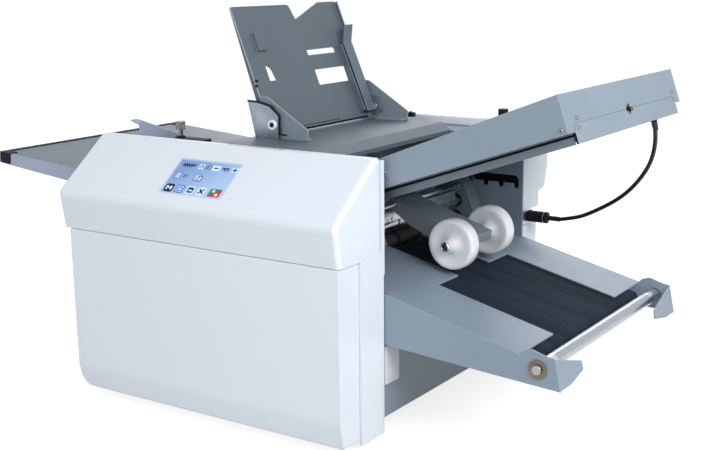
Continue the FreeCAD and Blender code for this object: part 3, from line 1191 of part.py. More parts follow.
def upper_fold_stop():
    """Paper stop that the screw drives along inside the fold plate."""
    floor = -FOLD_SIDE_DEPTH + FOLD_SHEET
    bar = box(STOP_REST - 3, STOP_REST, -STOP_HALF, STOP_HALF, floor + 0.4, floor + 12)
    fingers = [box(STOP_REST - 9, STOP_REST, y - 4, y + 4, floor + 0.4, floor + 2.4)
               for y in (-120.0, -60.0, 60.0, 120.0)]
    nut = box(STOP_REST - 3, STOP_REST + 18, -10, 10, floor + 0.4, -15.6)
    stop = joined([bar, nut] + fingers)
    bore = Part.makeCylinder(SCREW_RADIUS + RUNNING, 60, Vector(STOP_REST - 20, 0, -21.0),
                             Vector(1, 0, 0))
    return [fold_placed(stop.cut(bore))]


def upper_leadscrew():
    screw = Part.makeCylinder(SCREW_RADIUS, FOLD_LENGTH - 52, Vector(-FOLD_LENGTH + 10, 0, -21.0),
                              Vector(1, 0, 0))
    collar = Part.makeCylinder(7.0, 6.0, Vector(-60.0, 0, -21.0), Vector(1, 0, 0))
    return [fold_placed(joined([screw, collar]))]


def upper_stop_motor():
    """Stepper motor of the stop, on a bracket at the plate's outer end, with the inner bearing."""
    half = STOP_MOTOR / 2
    floor = -FOLD_SIDE_DEPTH + FOLD_SHEET
    body = box(-41.0, -5.0, -half, half, -21.0 - half, -21.0 + half)
    bracket = box(-43.0, -41.0, -half - 8, half + 8, floor, -21.0 + half)
    motor = joined([body, bracket])
    bore = Part.makeCylinder(SCREW_RADIUS + RUNNING, 12, Vector(-45.0, 0, -21.0), Vector(1, 0, 0))
    motor = motor.cut(bore)
    block = box(-FOLD_LENGTH + 12, -FOLD_LENGTH + 18, -10, 10, floor, -15.5)
    inner_bore = Part.makeCylinder(SCREW_RADIUS + RUNNING, 20, Vector(-FOLD_LENGTH + 5, 0, -21.0),
                                   Vector(1, 0, 0))
    return [fold_placed(motor), fold_placed(block.cut(inner_bore))]


def skew_knob():
    """Small black knob between the fold plate and the rear cover, on the frame's top edge."""
    head = rod_z(KNOB_X, KNOB_Y, KNOB_RADIUS, KNOB_TOP - 11, KNOB_TOP)
    head = rounded(head, [e for e in head.Edges if e.BoundBox.ZLength < 1e-6], 1.2)
    stem = rod_z(KNOB_X, KNOB_Y, KNOB_STEM_RADIUS, KNOB_LUG_Z + 2, KNOB_TOP - 5)
    return [joined([head, stem])]


def knob_bracket():
    """Lug on the rear frame that the skew knob's stem turns in."""
    top = KNOB_LUG_Z + KNOB_LUG_HEIGHT
    lug = box(KNOB_X - 7, KNOB_X + 7, FRAME_OUTER, FRAME_OUTER + 6.6, KNOB_LUG_Z, top)
    return lug.cut(rod_z(KNOB_X, KNOB_Y, KNOB_STEM_RADIUS + RUNNING, KNOB_LUG_Z - 1, top + 1))


# ---------- lower fold plate ----------
def lower_fold_plate():
    """Second fold plate, under the infeed table: a shallow closed box open at its mouth."""
    half = LOWER_HALF_WIDTH
    outer = box(-LOWER_LENGTH, 0, -half, half, -LOWER_DEPTH, 0)
    pocket = box(-LOWER_LENGTH + 60, 1, -half + 6, half - 6, -LOWER_DEPTH / 2 - 3, -LOWER_DEPTH / 2 + 3)
    trim = box(-44, 1, -half - 1, half + 1, -LOWER_DEPTH - 1, -LOWER_DEPTH / 2 - 5)
    top_trim = box(-60, 1, -half - 1, half + 1, -LOWER_DEPTH / 2 + 5, 1)
    plate = outer.cut(pocket).cut(trim).cut(top_trim)
    plate = tilted(plate, LOWER_ANGLE, Vector(LOWER_MOUTH_X, 0, LOWER_MOUTH_Z + 12))
    pads = []
    for along in (-120.0, -220.0):
        centre = Vector(LOWER_MOUTH_X, 0, LOWER_MOUTH_Z + 12)
        angle = math.radians(LOWER_ANGLE)
        centre += Vector(math.cos(angle), 0, math.sin(angle)) * along
        centre += Vector(math.sin(angle), 0, -math.cos(angle)) * (LOWER_DEPTH / 2)
        pads.append(rod_y(centre, 8.0, half - 1, FRAME_Y))
    return [joined([plate] + pads + [mirrored(pad) for pad in pads])]


# ---------- drive ----------
def main_motor():
    axis = Vector(MOTOR_X, 0, MOTOR_Z)
    can = rod_y(axis, MOTOR_RADIUS, -FRAME_Y + 8, -FRAME_Y + 8 + MOTOR_LENGTH)
    can = rounded(can, [e for e in can.Edges if e.BoundBox.YLength < 1e-6
                        and e.BoundBox.YMin > -FRAME_Y + 20], 5.0)
    flange = box(MOTOR_X - 42, MOTOR_X + 42, -FRAME_Y, -FRAME_Y + 8, MOTOR_Z - 42, MOTOR_Z + 42)
    foot = box(MOTOR_X - 25, MOTOR_X + 25, -110, -90, BASE_TOP, MOTOR_Z - 30)
    motor = joined([can, flange, foot])
    return [motor.cut(rod_y(axis, MOTOR_SHAFT_RADIUS + RUNNING, -FRAME_Y - 1, -FRAME_Y + 26))]


def motor_pulley():
    axis = Vector(MOTOR_X, 0, MOTOR_Z)
    return [joined([rod_y(axis, MOTOR_PULLEY_RADIUS, PULLEY_Y - PULLEY_FACE, PULLEY_Y),
                    rod_y(axis, MOTOR_SHAFT_RADIUS, PULLEY_Y - PULLEY_FACE, -FRAME_Y + 25)])]


def drive_belt():
    return [belt(Vector(MOTOR_X, 0, MOTOR_Z), MOTOR_PULLEY_RADIUS, ROLLER_AXES[1],
                 ROLLER_PULLEY_RADIUS, BELT_THICKNESS, PULLEY_Y - PULLEY_FACE + 0.3,
                 PULLEY_Y - 0.3)]


# ---------- outfeed conveyor ----------
def flange_sheet(x0, x1, y0, y1):
    """Flat sheet at the height of the conveyor's flanges."""
    return prism_y([(x0, conveyor_z(x0)), (x1, conveyor_z(x1)), (x1, conveyor_z(x1) - CONVEYOR_SHEET),
                    (x0, conveyor_z(x0) - CONVEYOR_SHEET)], y0, y1)


def conveyor_far_plate():
    """Side plate with its inward flange, the hump over the end roller and the end tab."""
    start, flange_x, flange_end = CONVEYOR_START_X, CONVEYOR_FLANGE_X, CONVEYOR_FLANGE_END
    y0, y1 = CONVEYOR_Y, CONVEYOR_Y + CONVEYOR_SHEET
    plate = prism_y([(start, 131.0), (246.7, 123.9), (338.2, 117.3), (467.4, 108.7),
                     (459.6, 147.2), (450.0, 148.6, 8), (430.0, 154.6, 7), (419.0, 151.0, 4),
                     (flange_end, conveyor_z(flange_end)), (start, conveyor_z(start))], y0, y1)
    flange = flange_sheet(flange_x, flange_end, y1 - CONVEYOR_FLANGE_WIDTH, y1)
    tongue = flange_sheet(CONVEYOR_TONGUE_START, CONVEYOR_TONGUE_END, CONVEYOR_TONGUE_Y,
                          FRAME_Y - 0.5)
    tab = prism_x([(y1 - 0.5, 108.9), (y1 - 0.5, 147.0), (y1 - 26, 140.0), (y1 - 69, 127.5),
                   (y1 - 70, 116.0), (y1 - 32, 108.9)], 0, CONVEYOR_SHEET)
    tab.rotate(Vector(0, 0, 109.0), Vector(0, 1, 0), -11.3)
    tab.translate(Vector(467.2 - CONVEYOR_SHEET * 1.1, 0, 0))
    plate = joined([plate, flange, tongue, tab])
    bore = Vector(END_ROLLER_X, 0, END_ROLLER_Z)
    screw_x, screw_z = TIE_PLACES[3]
    return [plate.cut(rod_y(bore, END_SHAFT_RADIUS + RUNNING + BUSH_WALL, y0 - 1, y1 + 1)).cut(
        rod_y(DRIVE_AXIS, FEED_SHAFT_RADIUS + 4, y0 - 1, y1 + 1)).cut(
        rod_y(Vector(screw_x, 0, screw_z), SCREW_HEAD_RADIUS + 0.5, y0 - 1, y1 + 1))]


def conveyor_near_plate():
    return [mirrored(conveyor_far_plate()[0])]


def conveyor_bed():
    """Slider bed inside the belt, with a round nose, and the cross bars that carry it."""
    start = DRIVE_AXIS + CONVEYOR_DOWN * (DRIVE_RADIUS + 6)
    upper = DRIVE_RADIUS + 0.3
    top_start = DRIVE_AXIS + CONVEYOR_UP * DRIVE_RADIUS + CONVEYOR_DOWN * (DRIVE_RADIUS + 6)
    top_end = NOSE_AXIS + CONVEYOR_UP * NOSE_RADIUS
    low_end = NOSE_AXIS - CONVEYOR_UP * NOSE_RADIUS
    tip = NOSE_AXIS + CONVEYOR_DOWN * NOSE_RADIUS
    y0, y1 = -CONVEYOR_BELT_HALF + 4, CONVEYOR_BELT_HALF - 4
    back = top_start - CONVEYOR_UP * (upper - 4)
    points = [Vector(p.x, y0, p.z) for p in (top_start, top_end, tip, low_end, back)]
    edges = [Part.LineSegment(points[0], points[1]).toShape(),
             Part.Arc(points[1], points[2], points[3]).toShape(),
             Part.LineSegment(points[3], points[4]).toShape(),
             Part.LineSegment(points[4], points[0]).toShape()]
    slab = Part.Face(Part.Wire(edges)).extrude(Vector(0, y1 - y0, 0))
    bars = []
    for share in (0.3, 0.85):
        centre = start + (NOSE_AXIS - start) * share
        bars.append(rod_y(centre, 4.0, -CONVEYOR_Y, CONVEYOR_Y))
    return [joined([slab] + bars)]


def conveyor_belt():
    """Wide flat belt round the drive roller and the bed's nose."""
    return [belt(DRIVE_AXIS, DRIVE_RADIUS, NOSE_AXIS, NOSE_RADIUS, CONVEYOR_BELT - 0.3,
                 -CONVEYOR_BELT_HALF, CONVEYOR_BELT_HALF)]


def conveyor_drive_roller():
    return [roller(DRIVE_AXIS, DRIVE_RADIUS, CONVEYOR_BELT_HALF + 4, FEED_SHAFT_RADIUS,
                   SHAFT_STUB + 1)]


def conveyor_end_roller():
    """Bright roller at the conveyor's end, its shaft ends standing out of the bushes."""
    axis = Vector(END_ROLLER_X, 0, END_ROLLER_Z)
    reach = CONVEYOR_Y + CONVEYOR_SHEET + BUSH_FLANGE + 3.6
    body = rod_y(axis, END_ROLLER_RADIUS, -CONVEYOR_Y + 2.5, CONVEYOR_Y - 2.5)
    shaft = rod_y(axis, END_SHAFT_RADIUS, -reach, reach)
    shaft = rounded(shaft, [e for e in shaft.Edges if e.BoundBox.YLength < 1e-6], 1.0)
    return [joined([body, shaft])]


def end_panels():
    """Grey panels that close the machine's two ends between the frames."""
    right = box(BASE_HALF_X, BASE_HALF_X + PANEL_SHEET, -FRAME_Y, FRAME_Y, PANEL_FOOT_Z - 12,
                PANEL_TOP_Z)
    left = box(FRAME_LEFT, FRAME_LEFT + PANEL_SHEET, -FRAME_Y, FRAME_Y, INFEED_PANEL_FOOT_Z,
               INFEED_PANEL_TOP_Z)
    grommet = Part.makeCylinder(LOWER_CABLE_RADIUS + 2, 3.0, Vector(FRAME_LEFT - 2, -156.0, 182.0),
                                Vector(1, 0, 0))
    return [right, joined([left, grommet])]


# ---------- stacker wheels ----------
def stacker_rod():
    """Cross rod that drops into a pair of notches, with a collar outside each frame."""
    axis = Vector(ROD_X, 0, ROD_Z)
    collars = [rod_y(axis, 7.0, y0, y1) for y0, y1 in
               ((-FRAME_OUTER - 4.2, -FRAME_OUTER - 2.3), (FRAME_OUTER + 2.3, FRAME_OUTER + 4.2))]
    return [joined([rod_y(axis, ROD_RADIUS, -FRAME_OUTER - 4.2, FRAME_OUTER + 4.2)] + collars)]


def stacker_arm():
    """Inverted channel that swings on the rod, with the wheel axle through its end."""
    start, end = ARM_TOP_START, ARM_TOP_END
    section = [(134.0, 264.5, 3), (140.2, 257.9, 4), (162.5, 242.9, 60), (191.3, 230.6, 60),
               (232.0, 222.0, 20), (end.x - 3.3, end.z - 11.9, 3), (end.x, end.z, 2),
               (start.x, start.z, 4)]
    outer = prism_y(section, -ARM_HALF, ARM_HALF)
    along = (end - start).normalize()
    down = Vector(along.z, 0, -along.x) * ARM_SHEET
    skin_start, skin_end = start - along * 30 + down, end + down - along * ARM_SHEET
    hollow = prism_y([(skin_start.x, 240.0), (225.0, 180.0), (end.x - 7.3, 215.0),
                      (skin_end.x, skin_end.z), (skin_start.x, skin_start.z)],
                     -ARM_HALF + ARM_SHEET, ARM_HALF - ARM_SHEET)
    rod = Vector(ROD_X, 0, ROD_Z)
    axle = Vector(AXLE_X, 0, AXLE_Z)
    sleeve = rod_y(rod, ROD_RADIUS + 2.4, -ARM_HALF, ARM_HALF).common(outer)
    tip = WHEEL_Y + HUB_HALF
    pieces = [outer.cut(hollow), sleeve, rod_y(axle, AXLE_RADIUS, -tip - 0.8, tip + 0.8)]
    collar = rod_y(axle, AXLE_RADIUS + 2.2, tip + 0.5, tip + 2.2)
    arm = joined(pieces + [collar, mirrored(collar)])
    return [arm.cut(rod_y(rod, ROD_RADIUS + RUNNING, -ARM_HALF - 1, ARM_HALF + 1))]


def far_stacker_wheel():
    """White wheel turned about its axle: flat rim, deep dished faces and a long tapered hub."""
    bore = AXLE_RADIUS + RUNNING
    rim, radius, hub = WHEEL_HALF, WHEEL_RADIUS, HUB_HALF
    near = [(bore, -hub), (6.8, -hub, 0.8), (12.5, -4.5, 4), (radius - 11.2, -3.0, 5),
            (radius - 3.2, -rim, 1), (radius - 1.2, -rim, 1.2), (radius, -rim / 2, 3)]
    far = [(point[0], -point[1]) + tuple(point[2:]) for point in reversed(near)]
    outline = rounded_wire(near + far, lambda a, b: Vector(AXLE_X + a, WHEEL_Y + b, AXLE_Z))
    return [Part.Face(outline).revolve(Vector(AXLE_X, 0, AXLE_Z), Vector(0, 1, 0), 360)]


def near_stacker_wheel():
    return [mirrored(far_stacker_wheel()[0])]


# ---------- cables ----------
def tube(route, radius):
    """A cable along straight runs and tangent arcs through the points of its route."""
    points = [Vector(*point) for point in route]
    edges = []
    start = points[0]
    radii = []
    for index in range(1, len(points) - 1):
        before = points[index - 1] - points[index]
        after = points[index + 1] - points[index]
        turn = math.pi - before.getAngle(after)
        reach = 0.45 * min(before.Length, after.Length)
        radii.append(reach / math.tan(turn / 2))
        bend = radii[-1]
        before.normalize()
        after.normalize()
        middle = before + after
        middle.normalize()
        centre = points[index] + middle * (bend / math.cos(turn / 2))
        entry = points[index] + before * reach
        leave = points[index] + after * reach
        edges.append(Part.LineSegment(start, entry).toShape())
        edges.append(Part.Arc(entry, centre - middle * bend, leave).toShape())
        start = leave
    edges.append(Part.LineSegment(start, points[-1]).toShape())
    path = Part.Wire(edges)
    ring = Part.Wire(Part.makeCircle(radius, points[0], points[1] - points[0]))
    solid = path.makePipeShell([ring], True, False)
    expected = math.pi * radius ** 2 * path.Length
    print("cable radii", [round(value, 1) for value in radii], "length", round(path.Length, 1),
          "volume ratio", round(solid.Volume / expected, 4), "valid", solid.isValid())
    return solid


def fold_plate_cable():
    return [tube(CABLE_ROUTE, CABLE_RADIUS)]


def lower_plate_cable():
    return [tube(LOWER_CABLE_ROUTE, LOWER_CABLE_RADIUS)]


def cable_plug():
    """Moulded round plug turned about its axis: nose, collar, ribbed grip, ring and strain relief."""
    face = Vector(SOCKET_X, SOCKET_Y, SOCKET_Z)
    line = Vector(*CABLE_ROUTE[0]) - face
    length = line.Length
    line.normalize()
    nose, grip = PLUG_NOSE, PLUG_RADIUS
    profile = [(0, -SOCKET_DEPTH + 0.6), (nose, -SOCKET_DEPTH + 0.6), (nose, 0.6), (grip, 0.9, 0.6),
               (grip, 7.0, 0.5)]
    for step in range(5):
        at = 7.6 + 3.8 * step
        profile += [(grip - 0.8, at), (grip - 0.8, at + 1.2), (grip - 0.2, at + 1.6),
                    (grip - 0.2, at + 3.4)]
    profile += [(grip - 1.3, 26.8), (grip - 1.3, 27.6), (grip - 0.1, 27.6, 0.4),
                (grip - 0.1, 32.0, 1.5), (4.2, 33.0)]
    for step in range(4):
        at = 34.5 + (length - 36.5) / 4.0 * step
        profile += [(3.9, at), (3.1, at + 0.6), (3.1, at + 1.8), (3.9, at + 2.4)]
    profile += [(3.4, length), (0, length)]
    outline = Part.Face(rounded_wire(profile, lambda a, b: Vector(a, 0, b)))
    plug = outline.revolve(Vector(0, 0, 0), Vector(0, 0, 1), 360)
    plug.Placement = FreeCAD.Placement(face, FreeCAD.Rotation(Vector(0, 0, 1), line))
    return [plug]


def along_x(x0, x1, radius):
    """Rod on the socket's axis."""
    return Part.makeCylinder(radius, x1 - x0, Vector(x0, SOCKET_Y, SOCKET_Z), Vector(1, 0, 0))


def din_socket():
    """Round socket on its bent bracket, screwed to the outside of the rear frame."""
    face = box(SOCKET_X - SOCKET_SHEET, SOCKET_X, FRAME_OUTER, SOCKET_FACE_EDGE, SOCKET_FACE_FOOT,
               SOCKET_FACE_TOP)
    foot = box(SOCKET_X - 24, SOCKET_X, FRAME_OUTER, FRAME_OUTER + SOCKET_SHEET, SOCKET_FACE_FOOT,
               SOCKET_FACE_TOP)
    shell = along_x(SOCKET_X - 14.0, SOCKET_X, SOCKET_RADIUS)
    socket = joined([face, foot, shell])
    return [socket.cut(along_x(SOCKET_X - SOCKET_DEPTH, SOCKET_X + 3, SOCKET_BORE))]


PIECES = {
    "base_plate": base_plate, "rubber_feet": rubber_feet,
    "near_side_frame": near_side_frame, "far_side_frame": far_side_frame,
    "tie_bars": tie_bars, "frame_screws": frame_screws,
    "bearing_bushes": bearing_bushes, "hinge_pins": hinge_pins,
    "front_console": front_console, "front_door": front_door,
    "rear_cover": rear_cover, "rear_panel": rear_panel,
    "power_inlet": power_inlet, "power_switch": power_switch, "touchscreen": touchscreen,
    "infeed_table": infeed_table, "table_end_cap": table_end_cap,
    "near_side_guide": near_side_guide, "far_side_guide": far_side_guide,
    "near_guide_screw": near_guide_screw, "far_guide_screw": far_guide_screw,
    "feed_roller": feed_roller, "separator_block": separator_block,
    "fold_roller_1": lambda: fold_roller(0), "fold_roller_2": lambda: fold_roller(1),
    "fold_roller_3": lambda: fold_roller(2), "fold_roller_4": lambda: fold_roller(3),
    "exit_roller_upper": lambda: exit_roller(EXIT_AXES[0]),
    "exit_roller_lower": lambda: exit_roller(EXIT_AXES[1]),
    "exit_guides": exit_guides, "top_cover": top_cover, "tray_gussets": tray_gussets,
    "tray_pivot_screws": tray_pivot_screws, "tray_plate": tray_plate,
    "tray_side_guide": tray_side_guide, "upper_fold_cover": upper_fold_cover,
    "upper_fold_base": upper_fold_base,
    "upper_fold_stop": upper_fold_stop, "upper_leadscrew": upper_leadscrew,
    "upper_stop_motor": upper_stop_motor, "skew_knob": skew_knob,
    "lower_fold_plate": lower_fold_plate, "main_motor": main_motor,
    "motor_pulley": motor_pulley, "drive_belt": drive_belt,
    "conveyor_near_plate": conveyor_near_plate, "conveyor_far_plate": conveyor_far_plate,
    "conveyor_bed": conveyor_bed, "conveyor_belt": conveyor_belt,
    "conveyor_drive_roller": conveyor_drive_roller, "conveyor_end_roller": conveyor_end_roller,
    "end_panels": end_panels, "stacker_rod": stacker_rod, "stacker_arm": stacker_arm,
    "near_stacker_wheel": near_stacker_wheel, "far_stacker_wheel": far_stacker_wheel,
    "fold_plate_cable": fold_plate_cable, "lower_plate_cable": lower_plate_cable,
    "cable_plug": cable_plug, "din_socket": din_socket,
}


def main():
    os.makedirs("parts", exist_ok=True)
    pieces = {name: make() for name, make in PIECES.items()}
    for name, solids in pieces.items():
        shape = solids[0] if len(solids) == 1 else Part.makeCompound(solids)
        shape.translate(Vector(0, CENTRE_SHIFT, 0))
        shape.exportStep("parts/" + name + ".step")
    print(len(pieces), "pieces")


main()
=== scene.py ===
import bmesh
import bpy
import json
import math
from mathutils import Matrix, Vector


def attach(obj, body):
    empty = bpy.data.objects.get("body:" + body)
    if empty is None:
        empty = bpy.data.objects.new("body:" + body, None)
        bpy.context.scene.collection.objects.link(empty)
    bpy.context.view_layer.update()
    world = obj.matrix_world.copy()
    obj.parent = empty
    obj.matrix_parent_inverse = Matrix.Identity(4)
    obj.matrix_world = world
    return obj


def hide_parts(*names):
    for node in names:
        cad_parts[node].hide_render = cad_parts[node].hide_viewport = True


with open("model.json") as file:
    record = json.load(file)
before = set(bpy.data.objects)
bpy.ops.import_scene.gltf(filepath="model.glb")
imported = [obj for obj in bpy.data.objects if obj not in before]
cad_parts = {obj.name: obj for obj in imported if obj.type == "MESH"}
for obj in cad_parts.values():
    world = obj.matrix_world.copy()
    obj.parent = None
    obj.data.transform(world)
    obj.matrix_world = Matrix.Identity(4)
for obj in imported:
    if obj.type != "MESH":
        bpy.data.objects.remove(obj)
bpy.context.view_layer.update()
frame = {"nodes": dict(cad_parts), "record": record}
NODES = frame["nodes"]
MM = 0.001
SHIFT = 9.4                             # y of the paper's centre plane; places are given about it
SIDES = (("near", -1), ("far", 1))      # the operator's side and the far side


# ---------- sums and nodes of a finish ----------
class Value:
    """A socket of a finish that takes part in sums like a number."""

    def __init__(self, tree, socket):
        self.tree = tree
        self.socket = socket

    def maths(self, operation, *values):
        return self.tree.node("Math", {"operation": operation}, dict(enumerate(values)))

    def __add__(self, other):
        return self.maths("ADD", self, other)

    def __sub__(self, other):
        return self.maths("SUBTRACT", self, other)

    def __rsub__(self, other):
        return self.maths("SUBTRACT", other, self)

    def __mul__(self, other):
        return self.maths("MULTIPLY", self, other)

    def __gt__(self, other):
        return self.maths("GREATER_THAN", self, other)

    def __lt__(self, other):
        return self.maths("LESS_THAN", self, other)

    def __abs__(self):
        return self.maths("ABSOLUTE", self)

    __radd__ = __add__
    __rmul__ = __mul__

    def wave(self):
        return self.maths("SINE", self)

    def angle_to(self, other):
        return self.maths("ARCTAN2", self, other)

    def or_more(self, other):
        return self.maths("MAXIMUM", self, other)

    def rise(self, low, high):
        """0 below low, 1 above high and smooth between."""
        return self.tree.node("MapRange", {"interpolation_type": "SMOOTHSTEP"},
                              {0: self, 1: low, 2: high, 3: 0.0, 4: 1.0})


class Nodes:
    """The node tree of a finish or of the room."""

    def __init__(self, tree):
        self.tree = tree
        self.tree.nodes.clear()

    def node(self, kind, settings=None, inputs=None, output=0):
        node = self.tree.nodes.new("ShaderNode" + kind)
        for key, value in (settings or {}).items():
            setattr(node, key, value)
        for slot, value in (inputs or {}).items():
            socket = node.inputs[slot]
            if isinstance(value, Value):
                self.tree.links.new(value.socket, socket)
            elif socket.type == "RGBA":
                socket.default_value = (*value[:3], 1.0)
            else:
                socket.default_value = value
        return Value(self, node.outputs[output]) if len(node.outputs) else None

    def seen(self):
        """1 for what is seen, straight, in a reflection or through glass, 0 for what gives light."""
        rays = [self.node("LightPath", output=f"Is {kind} Ray")
                for kind in ("Camera", "Glossy", "Transmission")]
        return rays[0].or_more(rays[1]).or_more(rays[2])


class Finish(Nodes):
    """A material, with short ways to the patterns that its surfaces need."""

    def __init__(self, name):
        self.material = bpy.data.materials.new(name)
        self.material.use_nodes = True
        super().__init__(self.material.node_tree)

    def done(self, **sockets):
        names = {key.replace("_", " "): value for key, value in sockets.items()}
        skin = self.node("BsdfPrincipled", inputs=names)
        self.node("OutputMaterial", inputs={"Surface": skin})
        return self.material

    def along(self, axis):
        where = self.node("TexCoord", output="Object")
        return self.node("SeparateXYZ", inputs={0: where}, output=axis)

    def off_centre(self):
        """How far the surface lies from the paper's centre plane, to either side."""
        return abs(self.along("Y") - SHIFT * MM)

    def noise(self, scale, detail, squeeze=(1, 1, 1)):
        where = self.node("TexCoord", output="Object")
        where = self.node("Mapping", inputs={"Vector": where, "Scale": squeeze})
        return self.node("TexNoise", inputs={"Vector": where, "Scale": scale, "Detail": detail})

    def blend(self, amount, first, second):
        return self.node("Mix", {"data_type": "RGBA"}, {"Factor": amount, 6: first, 7: second}, 2)

    def eased(self, radius):
        """The normal rounded over the sharp edges."""
        return self.node("Bevel", {"samples": 6}, {"Radius": radius * MM})

    def edges(self, eased):
        """1 where the eased normal leaves the flat of the surface."""
        flat = self.node("NewGeometry", output="Normal")
        turn = self.node("VectorMath", {"operation": "DOT_PRODUCT"}, {0: eased, 1: flat}, "Value")
        return 1 - turn.rise(0.80, 0.995)

    def bump(self, height, strength, depth, normal):
        return self.node("Bump", inputs={"Height": height, "Strength": strength,
                                         "Distance": depth * MM, "Normal": normal})


def tint(colour, amount):
    return tuple(min(channel * amount, 1.0) for channel in colour)


# ---------- finishes ----------
GREY = (0.235, 0.295, 0.360)
SLATE = (0.100, 0.132, 0.165)
WHITE = (0.75, 0.80, 0.87)


def powder_coat(name, colour, edge, rough=0.42, radius=0.8):
    """Baked powder: fine peel, slow patches, and edges painted lighter, partly wear where it lies
    thin and partly a painted highlight.
    """
    finish = Finish(name)
    eased = finish.eased(radius)
    fleck = finish.noise(950, 2)
    patches = finish.noise(6, 3).rise(0.3, 0.7) * 0.6 + fleck.rise(0.35, 0.65) * 0.4
    coat = finish.blend(patches, tint(colour, 0.92), tint(colour, 1.04))
    # lighter edges: partly wear where the powder lies thin, partly a painted highlight
    thin = finish.edges(eased) * finish.noise(90, 2).rise(0.2, 0.55)
    return finish.done(
        Base_Color=finish.blend(thin, coat, edge),
        Roughness=finish.noise(35, 3) * 0.10 + fleck * 0.06 + (rough - 0.08),
        Normal=finish.bump(fleck + finish.noise(300, 1), 0.14, 0.06, eased))


def moulding(name, colour, rough, grain=0.06, radius=0.8, **sockets):
    """Moulded plastic with a fine eroded grain and slightly polished edges."""
    finish = Finish(name)
    eased = finish.eased(radius)
    patches = finish.noise(4, 2).rise(0.3, 0.7)
    fleck = finish.noise(1100, 2)
    worn = finish.edges(eased)
    skin = finish.blend(patches * 0.6 + fleck * 0.4, tint(colour, 0.975), colour)
    return finish.done(
        Base_Color=finish.blend(worn * 0.4, skin, tint(colour, 1.15)),
        Roughness=finish.noise(28, 3) * 0.10 + (rough - 0.05) - worn * 0.06,
        Normal=finish.bump(fleck, grain, 0.05, eased), **sockets)


def bare_metal(name, colour, rough=0.24, squeeze=(1, 1, 1), depth=0.10, stain=0.94):
    """Bare metal with tool marks, drawn out the way they run, and a faint stain."""
    finish = Finish(name)
    marks = finish.noise(1300, 3, squeeze)
    film = finish.noise(38, 3).rise(0.35, 0.7)
    return finish.done(
        Base_Color=finish.blend(film, tint(colour, stain), colour), Metallic=1.0,
        Roughness=marks * 0.16 + film * 0.05 + (rough - 0.09),
        Normal=finish.bump(marks, depth, 0.03, finish.eased(0.5)))


def rubber(name, colour, rough=0.62):
    """Matt rubber or urethane, scuffed lighter along its edges."""
    finish = Finish(name)
    eased = finish.eased(0.5)
    scuff = finish.noise(240, 3)
    worn = finish.edges(eased) * scuff.rise(0.3, 0.6)
    skin = finish.blend(scuff.rise(0.3, 0.7), tint(colour, 0.86), colour)
    return finish.done(
        Base_Color=finish.blend(worn * 0.5, skin, tint(colour, 1.5)),
        Roughness=scuff * 0.12 + (rough - 0.06),
        Normal=finish.bump(finish.noise(2000, 2), 0.22, 0.05, eased))


def woven_belt(name, colour):
    """Belt with a fine weave under its thin coating, polished in lanes."""
    finish = Finish(name)
    threads = (finish.along("X") * 5200).wave() * (finish.along("Y") * 5200).wave()
    lanes = finish.noise(60, 2, (0.05, 1, 0.05)).rise(0.35, 0.65)
    return finish.done(
        Base_Color=finish.blend(lanes, colour, tint(colour, 1.4)),
        Roughness=0.80 - lanes * 0.08, Specular_IOR_Level=0.08,
        Normal=finish.bump(threads, 0.25, 0.05, finish.eased(0.5)))


def wheel_nylon():
    """Milky turned nylon that light goes into, with ring marks round its axle."""
    finish = Finish("milky_nylon")
    ring = finish.noise(700, 2, (0.15, 1.0, 0.15))
    patches = finish.noise(20, 2).rise(0.3, 0.7)
    return finish.done(
        Base_Color=finish.blend(patches, (0.86, 0.88, 0.91), (0.91, 0.93, 0.95)),
        Roughness=ring * 0.12 + 0.24, Subsurface_Weight=1.0, Subsurface_Scale=0.012,
        Subsurface_Radius=(1.0, 1.0, 1.0),
        Normal=finish.bump(ring, 0.10, 0.04, finish.eased(0.6)))


def knurled_steel(name, x, y, foot, top):
    """Bright steel screw on an upright axis; its head, between two heights, is knurled, its grooves
    painted dark as painted shade.
    """
    start = 0.0000445                   # square of the radius, in metres, where the knurl starts
    turns, pitch = 44, 4400             # knurls round the head, and their slope along it
    finish = Finish(name)
    side = finish.along("X") - x * MM
    deep = finish.along("Y") - (y + SHIFT) * MM
    height = finish.along("Z")
    round_it = deep.angle_to(side) * turns
    along_it = height * pitch
    head = (height > foot * MM) * (height < top * MM)
    grip = head * (side * side + deep * deep > start)
    grooves = (round_it + along_it).wave() * (round_it - along_it).wave()
    marks = finish.noise(1300, 3, (1, 1, 0.1))
    # the knurl's grooves painted dark: painted shade
    groove_shade = grip * grooves.rise(-0.2, 0.3)
    return finish.done(
        Base_Color=finish.blend(groove_shade, (0.42, 0.42, 0.43), (0.15, 0.15, 0.155)),
        Metallic=1.0, Roughness=marks * 0.14 + 0.16 + grip * 0.10,
        Normal=finish.bump(grip * grooves + marks * 0.06, 0.6, 0.35, finish.eased(0.4)))


def rolled_aluminium():
    """Mill aluminium bar, mottled and yellowed along its lip; painted strips rise from it."""
    bar_top, bar_end = 260.5, 136.4
    lip_low, lip_high = 251.0, 256.2
    finish = Finish("mill_aluminium")
    height = finish.along("Z")
    bar = (height < bar_top * MM) * (finish.along("X") < bar_end * MM)
    mottle = finish.noise(160, 4).rise(0.50, 0.66)
    lip = (1 - height.rise(lip_low * MM, lip_high * MM)) * mottle
    metal = finish.blend(lip, (0.80, 0.82, 0.84), (0.55, 0.47, 0.30))
    marks = finish.noise(1100, 3, (1, 0.03, 1))
    fleck = finish.noise(950, 2)
    paint = finish.blend(fleck, tint(SLATE, 0.9), tint(SLATE, 1.3))
    return finish.done(
        Base_Color=finish.blend(bar, paint, metal), Metallic=bar,
        Roughness=marks * 0.16 + lip * 0.14 + 0.36 - bar * 0.16,
        Normal=finish.bump(bar * marks + fleck * 0.5, 0.12, 0.05, finish.eased(0.7)))


